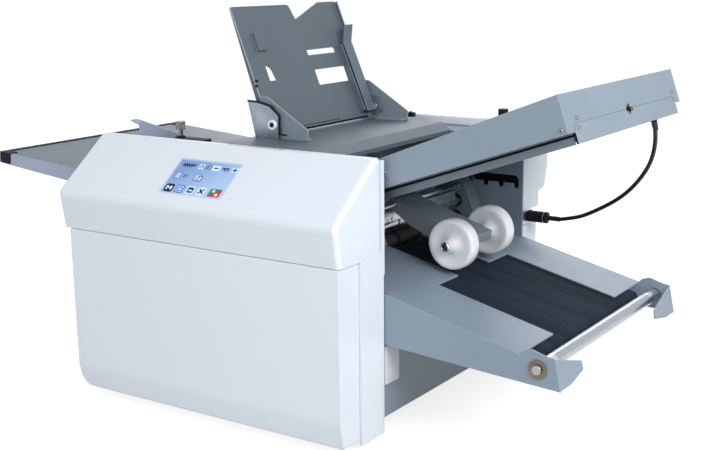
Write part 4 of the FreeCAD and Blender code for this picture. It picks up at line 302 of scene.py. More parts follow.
def gusset_and_bracket():
    """Light powder coat on the gussets, bright zinc on the brackets outside them; the powder's edges
    are painted lighter, a painted highlight.
    """
    gusset_y = 130.8
    finish = Finish("light_powder_and_zinc")
    eased = finish.eased(0.8)
    zinc = finish.off_centre() > gusset_y * MM
    fleck = finish.noise(950, 2)
    paint = finish.blend(fleck.rise(0.3, 0.7), (0.175, 0.22, 0.265), (0.20, 0.245, 0.29))
    # the powder's edges painted lighter: a painted highlight
    paint = finish.blend(finish.edges(eased), paint, (0.45, 0.50, 0.56))
    film = finish.noise(45, 3).rise(0.35, 0.7)
    bright = finish.blend(film, (0.24, 0.275, 0.33), (0.34, 0.38, 0.44))
    return finish.done(
        Base_Color=finish.blend(zinc, paint, bright), Metallic=zinc,
        Roughness=finish.noise(300, 3) * 0.12 + 0.36 - zinc * 0.16,
        Normal=finish.bump(fleck, 0.12, 0.05, eased))


def banded_roller():
    """Dark rubber bands on a bright shaft, the same on both sides of the middle."""
    bands = ((1.8, 54.4), (91.5, 144.5))
    finish = Finish("banded_roller")
    across = finish.off_centre()
    inner, outer = [(across > start * MM) * (across < end * MM) for start, end in bands]
    band = inner.or_more(outer)
    scuff = finish.noise(240, 3)
    tyre = finish.blend(scuff, (0.018, 0.018, 0.020), (0.034, 0.034, 0.037))
    return finish.done(
        Base_Color=finish.blend(band, (0.60, 0.61, 0.62), tyre), Metallic=1 - band,
        Roughness=scuff * 0.12 + 0.22 + band * 0.34,
        Normal=finish.bump(scuff, 0.15, 0.05, finish.eased(0.5)))


def powder_with_painted_skirt(name, colour, skirt, skirt_y, end_x=900.0):
    """Powder coat whose near skirt, in front of one y and left of one x, takes another tone: painted
    light where that tone is lighter, painted shade where it is darker; its edges carry a painted
    highlight.
    """
    finish = Finish(name)
    eased = finish.eased(0.8)
    fleck = finish.noise(950, 2)
    patches = finish.noise(5, 3, (1, 1, 0.2)).rise(0.3, 0.7)
    coat = finish.blend(patches * 0.6 + fleck * 0.4, tint(colour, 0.92), tint(colour, 1.06))
    outside = (finish.along("Y") < (SHIFT + skirt_y) * MM) * (finish.along("X") < end_x * MM)
    # the skirt's tone is painted light when lighter than the coat, painted shade when darker
    coat = finish.blend(outside, coat, skirt)
    return finish.done(
        # edges painted lighter: a painted highlight
        Base_Color=finish.blend(finish.edges(eased), coat, (0.33, 0.37, 0.41)),
        Roughness=finish.noise(35, 3) * 0.10 + fleck * 0.06 + 0.36,
        Normal=finish.bump(fleck + finish.noise(300, 1), 0.14, 0.06, eased))


def end_roller_steel():
    """Ground steel roller, darker along its middle lane, with dark tips."""
    lane_end, lane_fade, tip_start = 150.0, 158.0, 192.5
    finish = Finish("ground_steel")
    across = finish.off_centre()
    lane = 1 - across.rise(lane_end * MM, lane_fade * MM)
    tip = across > tip_start * MM
    steel = finish.blend(lane, (0.66, 0.68, 0.70), (0.40, 0.43, 0.47))
    marks = finish.noise(900, 3, (0.06, 1, 0.06))
    return finish.done(
        Base_Color=finish.blend(tip, steel, (0.34, 0.33, 0.32)), Metallic=1.0,
        Roughness=marks * 0.16 + lane * 0.08 + 0.16,
        Normal=finish.bump(marks, 0.12, 0.04, finish.eased(0.6)))


# ---------- the console's slope and the screen on it ----------
SLOPE_UP = Vector((0, 0.7877, 0.6161))
SLOPE_OUT = Vector((0, -0.6161, 0.7877))
SLOPE_FOOT = Vector((0, -297.8, 295.3))
SCREEN_X = -11.0                        # the screen's middle, along the machine
SCREEN_UP = 50.7                        # and up the slope from its foot


def display_glass():
    """Lit display under clear glass in a dark shell: deep blue, paler low right and at its rim."""
    unlit = (0.0, 0.0, 0.0)
    finish = Finish("display_glass")
    across = finish.along("X") - SCREEN_X * MM
    deep = finish.along("Y") - (SLOPE_FOOT.y + SHIFT) * MM
    height = finish.along("Z") - SLOPE_FOOT.z * MM
    up = deep * SLOPE_UP.y + height * SLOPE_UP.z - SCREEN_UP * MM
    out = deep * SLOPE_OUT.y + height * SLOPE_OUT.z
    corner = (across * 7 - up * 9 + 0.5).rise(0.0, 1.0)
    lit = finish.blend(corner, (0.17, 0.32, 0.66), (0.42, 0.58, 0.89))
    edge = abs(across).rise(48.6 * MM, 51.2 * MM).or_more(abs(up).rise(27.4 * MM, 29.8 * MM))
    lit = finish.blend(edge * 0.6, lit, (0.62, 0.74, 0.92))
    pixel = (finish.along("X") * 15000).wave() * (up * 15000).wave()
    front = out.rise(-3.4 * MM, -3.0 * MM)
    shell = finish.noise(700, 2)
    face = finish.blend(0.72, lit, unlit)
    glow = finish.blend(pixel * 0.03 + 0.30, lit, unlit)
    return finish.done(
        Base_Color=finish.blend(front, (0.02, 0.021, 0.023), face),
        Emission_Color=finish.blend(front, unlit, glow), Emission_Strength=1.0,
        Roughness=0.36 - front * 0.28 + shell * 0.02,
        Normal=finish.bump(shell * (1 - front), 0.1, 0.03, finish.eased(0.3)))


def painted_mark(name, colour, glow=0.0):
    """A mark drawn on the display: one colour, a little uneven between its dots."""
    finish = Finish(name)
    dots = (finish.along("X") * 15000).wave() * (finish.along("Z") * 18000).wave()
    shade = finish.blend(dots * 0.08 + 0.08, colour, tint(colour, 0.7))
    return finish.done(Base_Color=shade, Emission_Color=shade, Emission_Strength=glow,
                       Roughness=finish.noise(500, 2) * 0.1 + 0.4, Specular_IOR_Level=0.15)


# ---------- which piece has which look ----------
LOOKS = {                               # by the slot a solid is listed under
    "base_grey": powder_coat("powder_grey", GREY, (0.50, 0.55, 0.61)),
    "slate_grey": powder_coat("powder_slate", SLATE, (0.33, 0.37, 0.41), rough=0.46),
    "cover_white": moulding("satin_white", WHITE, rough=0.40),
    "foot_rubber": rubber("foot_rubber", (0.020, 0.020, 0.021)),
    "bright_steel": bare_metal("bright_steel", (0.62, 0.63, 0.64), squeeze=(1, 0.03, 1)),
    "bush_brass": bare_metal("dark_bronze", (0.20, 0.17, 0.135), rough=0.34, stain=0.7),
    "exit_aluminium": rolled_aluminium(),
    "screen_glass": display_glass(),
    "black_plastic": moulding("black_nylon", (0.007, 0.008, 0.010), rough=0.55, grain=0.12,
                              Specular_IOR_Level=0.15),
    "cable_black": moulding("cable_jacket", (0.006, 0.006, 0.008), rough=0.42, grain=0.1,
                            Specular_IOR_Level=0.35),
    "roller_urethane": rubber("cream_urethane", (0.60, 0.56, 0.45), rough=0.5),
    "feed_tyre": rubber("dark_rubber", (0.028, 0.028, 0.031)),
    "motor_black": moulding("motor_enamel", (0.015, 0.015, 0.018), rough=0.30, grain=0.12),
    "pulley_aluminium": bare_metal("pulley_aluminium", (0.70, 0.71, 0.72), squeeze=(0.1, 1, 0.1)),
    "belt_rubber": woven_belt("blue_black_belt", (0.013, 0.020, 0.032)),
    "wheel_nylon": wheel_nylon(),
}
OWN_LOOKS = {                           # and by name, for solids with a look of their own
    "conveyor_end_roller": end_roller_steel(),
    "din_socket": bare_metal("zinc_plate", (0.50, 0.51, 0.52), rough=0.34),
    "tray_gussets": gusset_and_bracket(),
    "exit_roller_lower": banded_roller(),
    # tray: its near flange painted lighter, painted light from the pale room
    "tray_plate": powder_with_painted_skirt("powder_tray_lit_skirt", (0.087, 0.115, 0.143), (0.36, 0.40, 0.50),
                                  skirt_y=-123.6),
    # fold base: its near strip under the cover painted darker, painted shade from the cover above
    "upper_fold_base": powder_with_painted_skirt("powder_base_shaded_skirt", GREY, (0.130, 0.162, 0.198),
                                       skirt_y=-161.0, end_x=463.4),
    # table: its near skirt painted lighter than its top, painted light from the front
    "infeed_table": powder_with_painted_skirt("powder_table_lit_skirt", (0.095, 0.136, 0.180), (0.36, 0.41, 0.53),
                                    skirt_y=-194.6),
    "top_cover": powder_coat("powder_dark", (0.070, 0.098, 0.128), (0.24, 0.28, 0.32),
                             rough=0.52),
    "stacker_arm": powder_coat("powder_arm", (0.235, 0.280, 0.310), (0.50, 0.55, 0.60),
                               radius=1.0),
}
# the guides get a lighter copy of the machine's powder: painted light on their faces
LIT_GUIDE_POWDER = powder_coat("powder_guide_lit", (0.36, 0.40, 0.52), (0.55, 0.60, 0.66))
for name, side in SIDES:
    OWN_LOOKS[f"{name}_side_guide"] = LIT_GUIDE_POWDER
    OWN_LOOKS[f"{name}_guide_screw"] = knurled_steel(
        f"{name}_knurl", x=-166.0, y=side * 121.0, foot=364.0, top=375.0)
BLACK = LOOKS["black_plastic"]
NICKEL = bare_metal("nickel_screw", (0.27, 0.25, 0.235), rough=0.20)
# black for gaps, seams and screw sockets: painted shade
PAINTED_SHADE = moulding("painted_shade_black", (0.004, 0.004, 0.005), rough=0.8, Specular_IOR_Level=0.05)
CHROME = bare_metal("chrome", (0.72, 0.73, 0.75), rough=0.14, depth=0.04)
COPPER = bare_metal("browned_screw", (0.23, 0.125, 0.095), rough=0.26)
WASHER = moulding("washer_nylon", (0.82, 0.83, 0.84), rough=0.32, radius=0.3)
PALE_BOX = moulding("pale_moulding", (0.70, 0.73, 0.77), rough=0.42)
RED_TRIM = moulding("red_trim", (0.42, 0.10, 0.12), rough=0.40, radius=0.3)
INK = painted_mark("mark_black", (0.006, 0.010, 0.020))
PAPER = painted_mark("mark_white", (0.55, 0.70, 0.93), 0.24)
LIGHT = painted_mark("mark_light", (0.85, 0.90, 0.96), 0.35)
BLUE = painted_mark("mark_blue", (0.06, 0.15, 0.55), 0.35)
GREEN = painted_mark("mark_green", (0.02, 0.17, 0.08), 0.30)
RED = painted_mark("mark_red", (0.42, 0.035, 0.05), 0.35)

for part in frame["record"]["subparts"]:
    mesh = NODES[part["node"]].data
    mesh.materials.clear()
    mesh.materials.append(OWN_LOOKS.get(part["node"], LOOKS[part["material_slot"]]))


# ---------- camera ----------
CAMERA_SPOT = (1.0028, -1.3967, 0.5954)
CAMERA_TURN = (33.83, 12.35, -0.56)     # its heading, its tilt down and its roll, in degrees


def basis(yaw, pitch, roll):
    """Camera axes from its heading, its tilt and its roll."""
    forward = Vector((-math.sin(yaw) * math.cos(pitch), math.cos(yaw) * math.cos(pitch),
                      -math.sin(pitch)))
    level = Vector((math.cos(yaw), math.sin(yaw), 0))
    above = level.cross(forward)
    right = level * math.cos(roll) + above * math.sin(roll)
    up = -level * math.sin(roll) + above * math.cos(roll)
    return Matrix((right, up, -forward)).transposed().to_4x4()


def camera():
    """A long lens from the front right, a little above the machine."""
    data = bpy.data.cameras.new("camera")
    data.lens = 60.07
    data.sensor_width = 36.0
    data.clip_start = 0.05
    data.clip_end = 50.0
    lens = bpy.data.objects.new("camera", data)
    bpy.context.scene.collection.objects.link(lens)
    turn = basis(*[math.radians(angle) for angle in CAMERA_TURN])
    lens.matrix_world = Matrix.Translation(CAMERA_SPOT) @ turn
    bpy.context.scene.camera = lens


# ---------- cables ----------
CABLE_ROUTE = [
    (281.5, 210.0, 219.2), (305.9, 209.0, 224.2), (328.8, 204.9, 233.4),
    (371.8, 194.8, 257.8), (402.3, 180.0, 281.8), (431.1, 158.2, 313.9),
    (448.3, 136.3, 342.1), (458.8, 111.3, 375.0), (462.0, 92.0, 392.2)]
LOWER_CABLE_ROUTE = [
    (-334.0, -140.0, 78.0), (-350.0, -141.0, 79.5), (-366.0, -144.0, 85.0),
    (-373.0, -149.0, 97.0), (-367.0, -153.0, 109.5), (-350.0, -155.0, 118.0),
    (-325.0, -156.0, 128.0), (-300.0, -156.5, 145.0), (-278.0, -156.5, 163.0),
    (-256.0, -156.0, 176.0), (-236.0, -156.0, 181.0), (-224.0, -156.0, 182.0)]


def spot(point):
    """A point given about the paper's centre plane, in metres in the machine's frame."""
    return Vector((point[0], point[1] + SHIFT, point[2])) * MM


def cable(name, route, radius, node, pieces=()):
    """A hanging cable along its route, in place of the solid of the same run."""
    data = bpy.data.curves.new(name, "CURVE")
    data.dimensions = "3D"
    spline = data.splines.new("NURBS")
    spline.points.add(len(route) - 1)
    for control, point in zip(spline.points, route):
        control.co = (*spot(point), 1)
    spline.order_u = 3
    spline.use_endpoint_u = True
    data.resolution_u = 12
    data.bevel_depth = radius * MM
    data.bevel_resolution = 6
    data.use_fill_caps = True
    data.materials.append(LOOKS["cable_black"])
    curve = bpy.data.objects.new(name, data)
    bpy.context.scene.collection.objects.link(curve)
    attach(curve, "chassis")
    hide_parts(node)


# ---------- mesh helpers, all in millimetres ----------
def at(origin, across, up):
    """Places a mesh: its x runs across, its y up, its z out of both, in the machine's frame."""
    across = Vector(across).normalized()
    up = Vector(up)
    up = (up - across * up.dot(across)).normalized()
    turn = Matrix((across, up, across.cross(up))).transposed().to_4x4()
    there = Matrix.Translation(Vector(origin) + Vector((0, SHIFT, 0)))
    return Matrix.Scale(MM, 4) @ there @ turn


def facing(side):
    """Across and up for a mesh that looks out of the near side, -1, or the far side, 1."""
    return (-side, 0, 0), (0, 0, 1)


def piece(name, work, place, body, look, sharp=38, replaces=()):
    """Makes a worked mesh a piece of the machine that rides on a body."""
    bmesh.ops.transform(work, matrix=place, verts=work.verts)
    bmesh.ops.recalc_face_normals(work, faces=work.faces)
    mesh = bpy.data.meshes.new(name)
    work.to_mesh(mesh)
    work.free()
    mesh.materials.append(look)
    mesh.shade_smooth()
    mesh.set_sharp_from_angle(angle=math.radians(sharp))
    thing = bpy.data.objects.new(name, mesh)
    bpy.context.scene.collection.objects.link(thing)
    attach(thing, body)
    if replaces:
        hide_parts(*replaces)
    return thing


def moved(work, x=0.0, y=0.0, z=0.0, turn=0.0):
    """Turns a mesh about z by degrees, then shifts it."""
    bmesh.ops.rotate(work, cent=(0, 0, 0), matrix=Matrix.Rotation(math.radians(turn), 3, "Z"),
                     verts=work.verts)
    bmesh.ops.translate(work, vec=(x, y, z), verts=work.verts)
    return work


def together(*parts):
    """One mesh out of several."""
    whole = bmesh.new()
    for part in parts:
        held = bpy.data.meshes.new("held")
        part.to_mesh(held)
        part.free()
        whole.from_mesh(held)
        bpy.data.meshes.remove(held)
    return whole


def raised(work, height):
    """Gives a flat face its height along z."""
    grown = bmesh.ops.extrude_face_region(work, geom=work.faces[:])
    top = [item for item in grown["geom"] if isinstance(item, bmesh.types.BMVert)]
    bmesh.ops.translate(work, vec=(0, 0, height), verts=top)
    bmesh.ops.recalc_face_normals(work, faces=work.faces)
    return work


def eased_top(work, height, width):
    """Bevels the edges that lie at a height."""
    top = [edge for edge in work.edges if len(edge.link_faces) == 2
           and all(abs(vert.co.z - height) < 0.001 for vert in edge.verts)]
    bmesh.ops.bevel(work, geom=top, offset=width, offset_type="OFFSET", segments=2,
                    profile=0.5, affect="EDGES", material=-1)
    return work


def rounded_face(width, height, corner):
    """A flat face about the origin with rounded corners."""
    work = bmesh.new()
    bmesh.ops.create_grid(work, x_segments=1, y_segments=1, size=0.5)
    bmesh.ops.scale(work, vec=(width, height, 1), verts=work.verts)
    bmesh.ops.bevel(work, geom=work.verts[:], offset=corner, offset_type="OFFSET", segments=5,
                    profile=0.5, affect="VERTICES", material=-1)
    return work


def plate(width, height, corner, thick, ease=0.0):
    """A flat plate in the xy plane with rounded corners, its back on z = 0."""
    work = raised(rounded_face(width, height, corner), thick)
    return eased_top(work, thick, ease) if ease else work


def rim(width, height, corner, line, thick):
    """A thin frame with rounded corners."""
    work = rounded_face(width, height, corner)
    middle = work.faces[:]
    bmesh.ops.inset_region(work, faces=middle, thickness=line, use_boundary=True,
                           use_even_offset=True)
    bmesh.ops.delete(work, geom=middle, context="FACES")
    return raised(work, thick)


def cut_sheet(corners, thick, ease=0.0):
    """A sheet cut to the given corners and raised along z."""
    work = bmesh.new()
    work.faces.new([work.verts.new((x, y, 0)) for x, y in corners])
    raised(work, thick)
    return eased_top(work, thick, ease) if ease else work


def turned(profile, steps):
    """A body turned about z through (radius, height) points."""
    work = bmesh.new()
    corners = [work.verts.new((radius, 0, height)) for radius, height in profile]
    lines = [work.edges.new(pair) for pair in zip(corners, corners[1:])]
    bmesh.ops.spin(work, geom=corners + lines, cent=(0, 0, 0), axis=(0, 0, 1), angle=math.tau,
                   steps=steps, use_merge=True)
    bmesh.ops.remove_doubles(work, verts=work.verts, dist=0.0005)
    bmesh.ops.recalc_face_normals(work, faces=work.faces)
    return work


def washer(inner, outer, thick, steps=40):
    """A ring whose top edges are broken."""
    soft = min(thick, outer - inner) * 0.22
    return turned([(inner, 0), (outer, 0), (outer, thick - soft), (outer - soft, thick),
                   (inner + soft, thick), (inner, thick - soft), (inner, 0)], steps)


def pan_head(radius, height):
    """A domed screw head with its driver recess."""
    hole = radius * 0.36
    return turned([(radius, 0), (radius, height * 0.35), (radius * 0.86, height * 0.74),
                   (radius * 0.6, height * 0.95), (hole, height), (hole * 0.9, height * 0.35),
                   (0, height * 0.3)], 28)


def figures(text, size, thick):
    """Plain figures as a thin mesh about the origin, its back on z = 0."""
    curve = bpy.data.curves.new("figures", "FONT")
    curve.body = text
    curve.size = size
    curve.align_x = "CENTER"
    curve.align_y = "CENTER"
    curve.extrude = thick / 2
    curve.offset = size * 0.045
    holder = bpy.data.objects.new("figures", curve)
    mesh = bpy.data.meshes.new_from_object(holder)
    work = bmesh.new()
    work.from_mesh(mesh)
    bpy.data.objects.remove(holder)
    bpy.data.curves.remove(curve)
    bpy.data.meshes.remove(mesh)
    return moved(work, z=thick / 2)


# ---------- touchscreen ----------
SIGN = 0.06                             # how thick the drawn signs are
BOX = 0.05                              # and the boxes under them


def display_mark(name, look, lift, *parts):
    """A piece of the display, drawn about the screen's middle and lifted off its glass."""
    glass = -0.3                        # the glass lies this far under the slope
    middle = SLOPE_FOOT + SLOPE_UP * SCREEN_UP + SLOPE_OUT * (glass + lift)
    place = at((SCREEN_X, middle.y, middle.z), (1, 0, 0), SLOPE_UP)
    piece(name, together(*parts), place, "chassis", look)


def plates(thick, *rows):
    """Flat plates from rows of width, height, corner, x and y."""
    return [moved(plate(width, height, corner, thick), x=x, y=y)
            for width, height, corner, x, y in rows]


def rims(thick, *rows):
    """Thin frames from rows of width, height, corner, line, x and y."""
    return [moved(rim(width, height, corner, line, thick), x=x, y=y)
            for width, height, corner, line, x, y in rows]


def circle_arrow(size):
    """An open ring with an arrow head."""
    ring = washer(size * 0.66, size, SIGN, 28)
    gap = [face for face in ring.faces if face.calc_center_median().x > size * 0.45
           and face.calc_center_median().y > 0]
    bmesh.ops.delete(ring, geom=gap, context="FACES")
    head = cut_sheet([(size * 1.35, -0.2), (size * 0.3, -0.2), (size * 0.82, size * 0.75)], SIGN)
    return together(ring, head)


def sheet_sign(x, y):
    """Outline of a sheet with its two creases."""
    outline = rims(SIGN, (8.8, 12.0, 0.8, 0.7, x, y))
    return outline + plates(SIGN, *[(0.6, 9.6, 0.1, x + side, y) for side in (-1.4, 1.4)])


def display_marks():
    """Counter and speed in the top row, two folded sheets below it, five buttons at the foot."""
    top, low = 19.6, -21.0              # the middles of the top row and of the row of buttons
    sheets = ((-39.0, 1.0), (-6.5, 1.0))
    turn_x, minus_x, plus_x = -11.0, 14.0, 45.2
    menu_x, blue_x, disk_x, cross_x = -39.8, -22.0, -3.6, 14.4
    left, right, foot, head, cut = 27.6, 46.4, low - 6.8, low + 6.8, 1.6    # the two-colour button
    display_mark("display_rim", PALE_BOX, 0.02, rim(105.6, 63.1, 4.6, 1.1, 0.34))

    boxes = plates(BOX, (9.2, 9.2, 1.6, turn_x, top), (13.5, 9.2, 1.6, minus_x, top),
                   (9.6, 9.2, 1.6, plus_x, top), (13.6, 13.4, 2.2, disk_x, low),
                   (13.6, 13.4, 2.2, cross_x, low), (7.2, 9.0, 0.6, -1.6, -0.6))
    boxes += plates(0.04, *[(7.0, 10.0, 0.6, x, y) for x, y in sheets])
    display_mark("display_boxes", PAPER, 0.03, *boxes)

    signs = [moved(figures("000098", 7.4, BOX), x=-31.7, y=top),
             moved(figures("80%", 7.2, BOX), x=29.8, y=top - 0.6),
             moved(figures("11", 7.4, BOX), x=-27.0, y=1.0),
             moved(circle_arrow(3.0), x=turn_x, y=top),
             moved(plate(0.7, 8.4, 0.1, SIGN), x=-1.8, y=top, turn=-28)]
    signs += plates(SIGN, (7.4, 1.9, 0.3, minus_x, top), (7.2, 1.8, 0.3, plus_x, top),
                    (1.8, 7.2, 0.3, plus_x, top), (6.0, 3.4, 0.3, disk_x, low + 2.6),
                    (3.0, 2.4, 0.2, disk_x, low - 2.6))
    signs += rims(SIGN, (6.2, 6.6, 0.5, 0.7, 3.0, top), (7.4, 9.2, 0.8, 1.1, -1.6, -0.6),
                  (9.4, 9.0, 1.0, 1.7, disk_x, low))
    signs += plates(BOX, (14.4, 13.8, 3.2, menu_x, low))
    signs += [moved(plate(2.1, 11.4, 0.9, SIGN), x=cross_x, y=low, turn=lean)
              for lean in (45, -45)]
    for x, y in sheets:
        signs += sheet_sign(x, y)
    display_mark("display_ink", INK, 0.09, *signs)
    display_mark("display_blue", BLUE, 0.05, *plates(BOX, (14.0, 13.6, 2.8, blue_x, low)))

    light = rims(BOX, (9.6, 9.4, 2.0, 0.7, blue_x, low))
    light += plates(BOX, (2.6, 3.6, 0.6, blue_x + 0.4, low - 0.2),
                    (1.5, 6.8, 0.3, menu_x - 3.6, low), (1.5, 6.8, 0.3, menu_x + 3.6, low))
    light += [moved(plate(1.4, 4.8, 0.3, BOX), x=menu_x + side, y=low + 1.0, turn=lean)
              for side, lean in ((-1.6, 34), (1.6, -34))]
    light += [moved(washer(1.2, 2.3, BOX, 20), x=x, y=low + y)
              for x, y in ((33.6, 3.0), (40.6, -2.8))]
    display_mark("display_light", LIGHT, 0.16, *light)

    display_mark("display_green", GREEN, 0.04, cut_sheet(
        [(left, foot), (left, head - cut), (left + cut, head), (right, head)], BOX))
    display_mark("display_red", RED, 0.04, cut_sheet(
        [(left, foot), (right, head), (right, foot + cut), (right - cut, foot)], BOX))


# ---------- upper fold plate ----------
FOLD_ALONG = Vector((0.9444, 0, 0.3289))
FOLD_UP = Vector((-0.3289, 0, 0.9444))
FOLD_END = Vector((449.2, 0, 451.2))    # the cover sheet's outer end


def fold_spot(along, y, down):
    """A spot past the cover sheet's outer end and under its face."""
    point = FOLD_END + FOLD_ALONG * along - FOLD_UP * down
    return Vector((point.x, y, point.z))


def socket_screw(tag, radius, height, socket, foot, head, out):
    """A pan head screw whose square socket is a black plate of painted shade; the tag goes into both
    names.
    """
    piece(tag.format("screw"), pan_head(radius, height), at(foot, *out), "chassis",
          NICKEL)
    piece(tag.format("recess"), plate(socket, socket, 0.5, 0.9), at(head, *out), "chassis",
          PAINTED_SHADE)


def fold_plate_details():
    """Screws at the end and side with sockets of painted shade, black strips of painted shade at the
    step and the end, the catch in a notch of painted shade.
    """
    outward = ((0, 1, 0), FOLD_UP)
    sideward = (FOLD_ALONG, FOLD_UP)
    ends = [(-151, 30.7), (-153, 41.5), (161, 29.9), (160, 40.4)]
    for number, (y, down) in enumerate(ends, 1):
        socket_screw(f"end_{{}}_{number}", 2.5, 1.9, 1.9,
                     fold_spot(0.0, y, down), fold_spot(1.0, y, down), outward)
    socket_screw("side_{}", 2.7, 2.0, 2.0, (455.6, -182.8, 411.2), (455.6, -183.8, 411.2),
                 sideward)
    side_y, catch_y = 163.4, 5.0
    for name, side in SIDES:
        sides = (-side * FOLD_ALONG, FOLD_UP)
        # black strips under the step and at the end: painted shade
        piece(f"{name}_step_shade", plate(393, 2.6, 0.4, 0.5),
              at(fold_spot(-198, side * side_y, 49.2), *sides), "chassis", PAINTED_SHADE)
        piece(f"{name}_end_hem_shade", plate(1.6, 12.6, 0.3, 1.6),
              at(fold_spot(-1.0, side * side_y, 53.2), *sides), "chassis", PAINTED_SHADE)
    # the notch round the catch is a black sheet: painted shade
    notch = cut_sheet([(-4.2, 0), (0, -7.6), (4.2, 0), (0, 7.6)], 0.35)
    piece("catch_notch_shade", notch, at(fold_spot(0.02, catch_y, 36.5), *outward), "chassis",
          BLACK)
    catch = turned([(0, 0), (1.6, 0), (1.6, 0.6), (2.4, 0.8), (2.6, 1.3), (2.6, 3.6), (2.2, 4.2),
                    (0.9, 4.4), (0, 4.2)], 24)
    piece("catch_screw", catch, at(fold_spot(0.2, catch_y, 37.5), *outward), "chassis",
          COPPER)


# ---------- tray and its brackets ----------
PIVOT_X, PIVOT_Y, PIVOT_Z = 12.7, 134.0, 383.0
TRAY_FOOT = (4.3, 367.6)                # x and z of the leaning tray's foot
TRAY_RISE = (0.3722, 0.9281)            # how far left and up the tray goes from there


def tray_details():
    """Pivot washers, sockets and bracket hems, gaps of the tray as black strips of painted shade,
    hooks of the tray, the cover's catch.
    """
    hem = [(-30.3, 414.4), (-12.8, 413.7), (8.6, 409.2), (23.4, 396.6), (23.4, 371.0),
           (33.5, 371.0), (33.5, 369.4), (21.8, 369.4), (21.8, 395.6),
           (7.2, 406.9), (-13.3, 411.3), (-30.0, 412.0)]
    for name, side in SIDES:
        place = at((PIVOT_X, side * PIVOT_Y, PIVOT_Z), *facing(side))
        piece(f"{name}_pivot_washer", washer(3.7, 6.9, 3.5), place, "cover", WASHER)
        socket = turned([(0, 0), (3.6, 0), (3.6, 0.4), (2.6, 0.5), (0, 0.2)], 6)
        piece(f"{name}_pivot_socket", socket,
              at((PIVOT_X, side * (PIVOT_Y + 3.0), PIVOT_Z), *facing(side)),
              "cover", BLACK)
        edge = [(-side * x, z) for x, z in hem]
        piece(f"{name}_bracket_hem", cut_sheet(edge, 3.2, 0.4),
              at((0, side * (PIVOT_Y - 2.6), 0), *facing(side)), "cover", BLACK)

    foot_x, foot_z = TRAY_FOOT
    left, up = TRAY_RISE
    # seam and slot at the tray's foot drawn as black strips: painted shade
    gaps = (("seam", -6, 236, -0.1, 2.6), ("slot", -41, 162, 4.2, 0.8))
    for name, y, length, rise, height in gaps:
        place = at((foot_x - rise * left, y, foot_z + rise * up), (0, 1, 0), (-left, 0, up))
        piece(f"tray_foot_shade_{name}", plate(length, height, 0.3, 0.4), place, "tray",
              PAINTED_SHADE)
    for number, height in enumerate((433.2, 440.2), 1):
        hook = turned([(0, 0), (1.1, 0), (1.1, 3.4), (2.0, 3.7), (2.0, 4.8), (1.2, 5.3), (0, 5.3)],
                      20)
        piece(f"tray_hook_{number}", hook, at((-18.4, -124.4, height), *facing(-1)),
              "tray", BLACK)
    block = together(plate(13, 9, 1.2, 6.5, 0.8), moved(pan_head(2.2, 1.6), z=6.5))
    piece("cover_catch", block, at((49.5, 164, 364.0), (1, 0, 0), (0, 1, 0)), "cover",
          BLACK)


# ---------- stacker ----------
AXLE_X, AXLE_Z = 246.9, 230.2           # the stacker wheels' axle
WHEEL_Y, CAP_Y = 51.1, 75.2             # the wheels' middles and the ends of their axle


def wheel_section():
    """The wheel's closed section: hub ends, long tapered hub, dished webs and soft rim."""
    half = [(4.05, 21.8), (6.3, 21.8), (6.8, 21.3), (8.2, 16.0), (9.8, 10.5), (11.4, 6.8),
            (13.6, 4.9), (16.5, 4.0), (19.5, 4.3), (22.6, 5.8), (25.4, 8.0), (28.0, 9.8),
            (30.6, 10.4), (32.5, 9.9), (33.6, 8.2), (34.2, 5.2), (34.2, 0.0)]
    return half + [(radius, -height) for radius, height in reversed(half[:-1])] + half[:1]


def stacker_details():
    """The two turned wheels, and on each end of their axle a bright cap with a star cut in it, the
    cut and a ring in the cap drawn black as painted shade.
    """
    for name, side in SIDES:
        piece(f"{name}_wheel", turned(wheel_section(), 96),
              at((AXLE_X, side * WHEEL_Y, AXLE_Z), *facing(side)), f"{name}_wheel",
              LOOKS["wheel_nylon"], sharp=50, replaces=(f"{name}_stacker_wheel",))
        cap = turned([(6.3, -1.8), (6.6, -1.6), (6.6, 0.4), (6.0, 1.0), (4.9, 1.2), (4.5, 0.9),
                      (4.1, 0.3), (2.9, 0.2), (2.5, 0.6), (0, 0.8)], 40)
        piece(f"{name}_axle_cap", cap, at((AXLE_X, side * CAP_Y, AXLE_Z), *facing(side)), "arm",
              CHROME)
        # black star and ring in the cap: painted shade in its cuts
        star = [moved(plate(6.6, 1.0, 0.1, 0.35), turn=turn) for turn in (20, 80, 140)]
        piece(f"{name}_axle_star_shade", together(*star, washer(3.0, 4.2, 0.2)),
              at((AXLE_X, side * (CAP_Y + 0.7), AXLE_Z), *facing(side)), "arm",
              BLACK)


# ---------- cable ends ----------
def plug_ring():
    """Bright ring on the plug, where its shell ends."""
    piece("plug_ring", washer(7.3, 8.55, 1.1), at((256.1, 210.0, 219.2), (0, 1, 0), (0, 0, 1)),
          "chassis", LOOKS["bright_steel"])


def cable_sleeve():
    """Ribbed sleeve where the cable enters the fold plate."""
    end = Vector(CABLE_ROUTE[-1])
    back = (Vector(CABLE_ROUTE[-2]) - end).normalized()
    grip = [(2.6, 21.5), (3.2, 21.2)]
    for rib in range(5):
        top = 19.6 - rib * 3.6
        valley, ridge = 3.2 + rib * 0.1, 3.6 + rib * 0.1
        grip += [(valley, top), (ridge, top - 0.6), (ridge, top - 2.0), (valley, top - 2.6)]
    grip += [(4.1, 1.4), (4.1, -1.0), (2.2, -1.0)]
    across = back.cross(Vector((1, 0, 0)))
    return piece("cable_sleeve", turned(grip, 28), at(end, across, back.cross(across)),
                 "chassis", LOOKS["cable_black"])


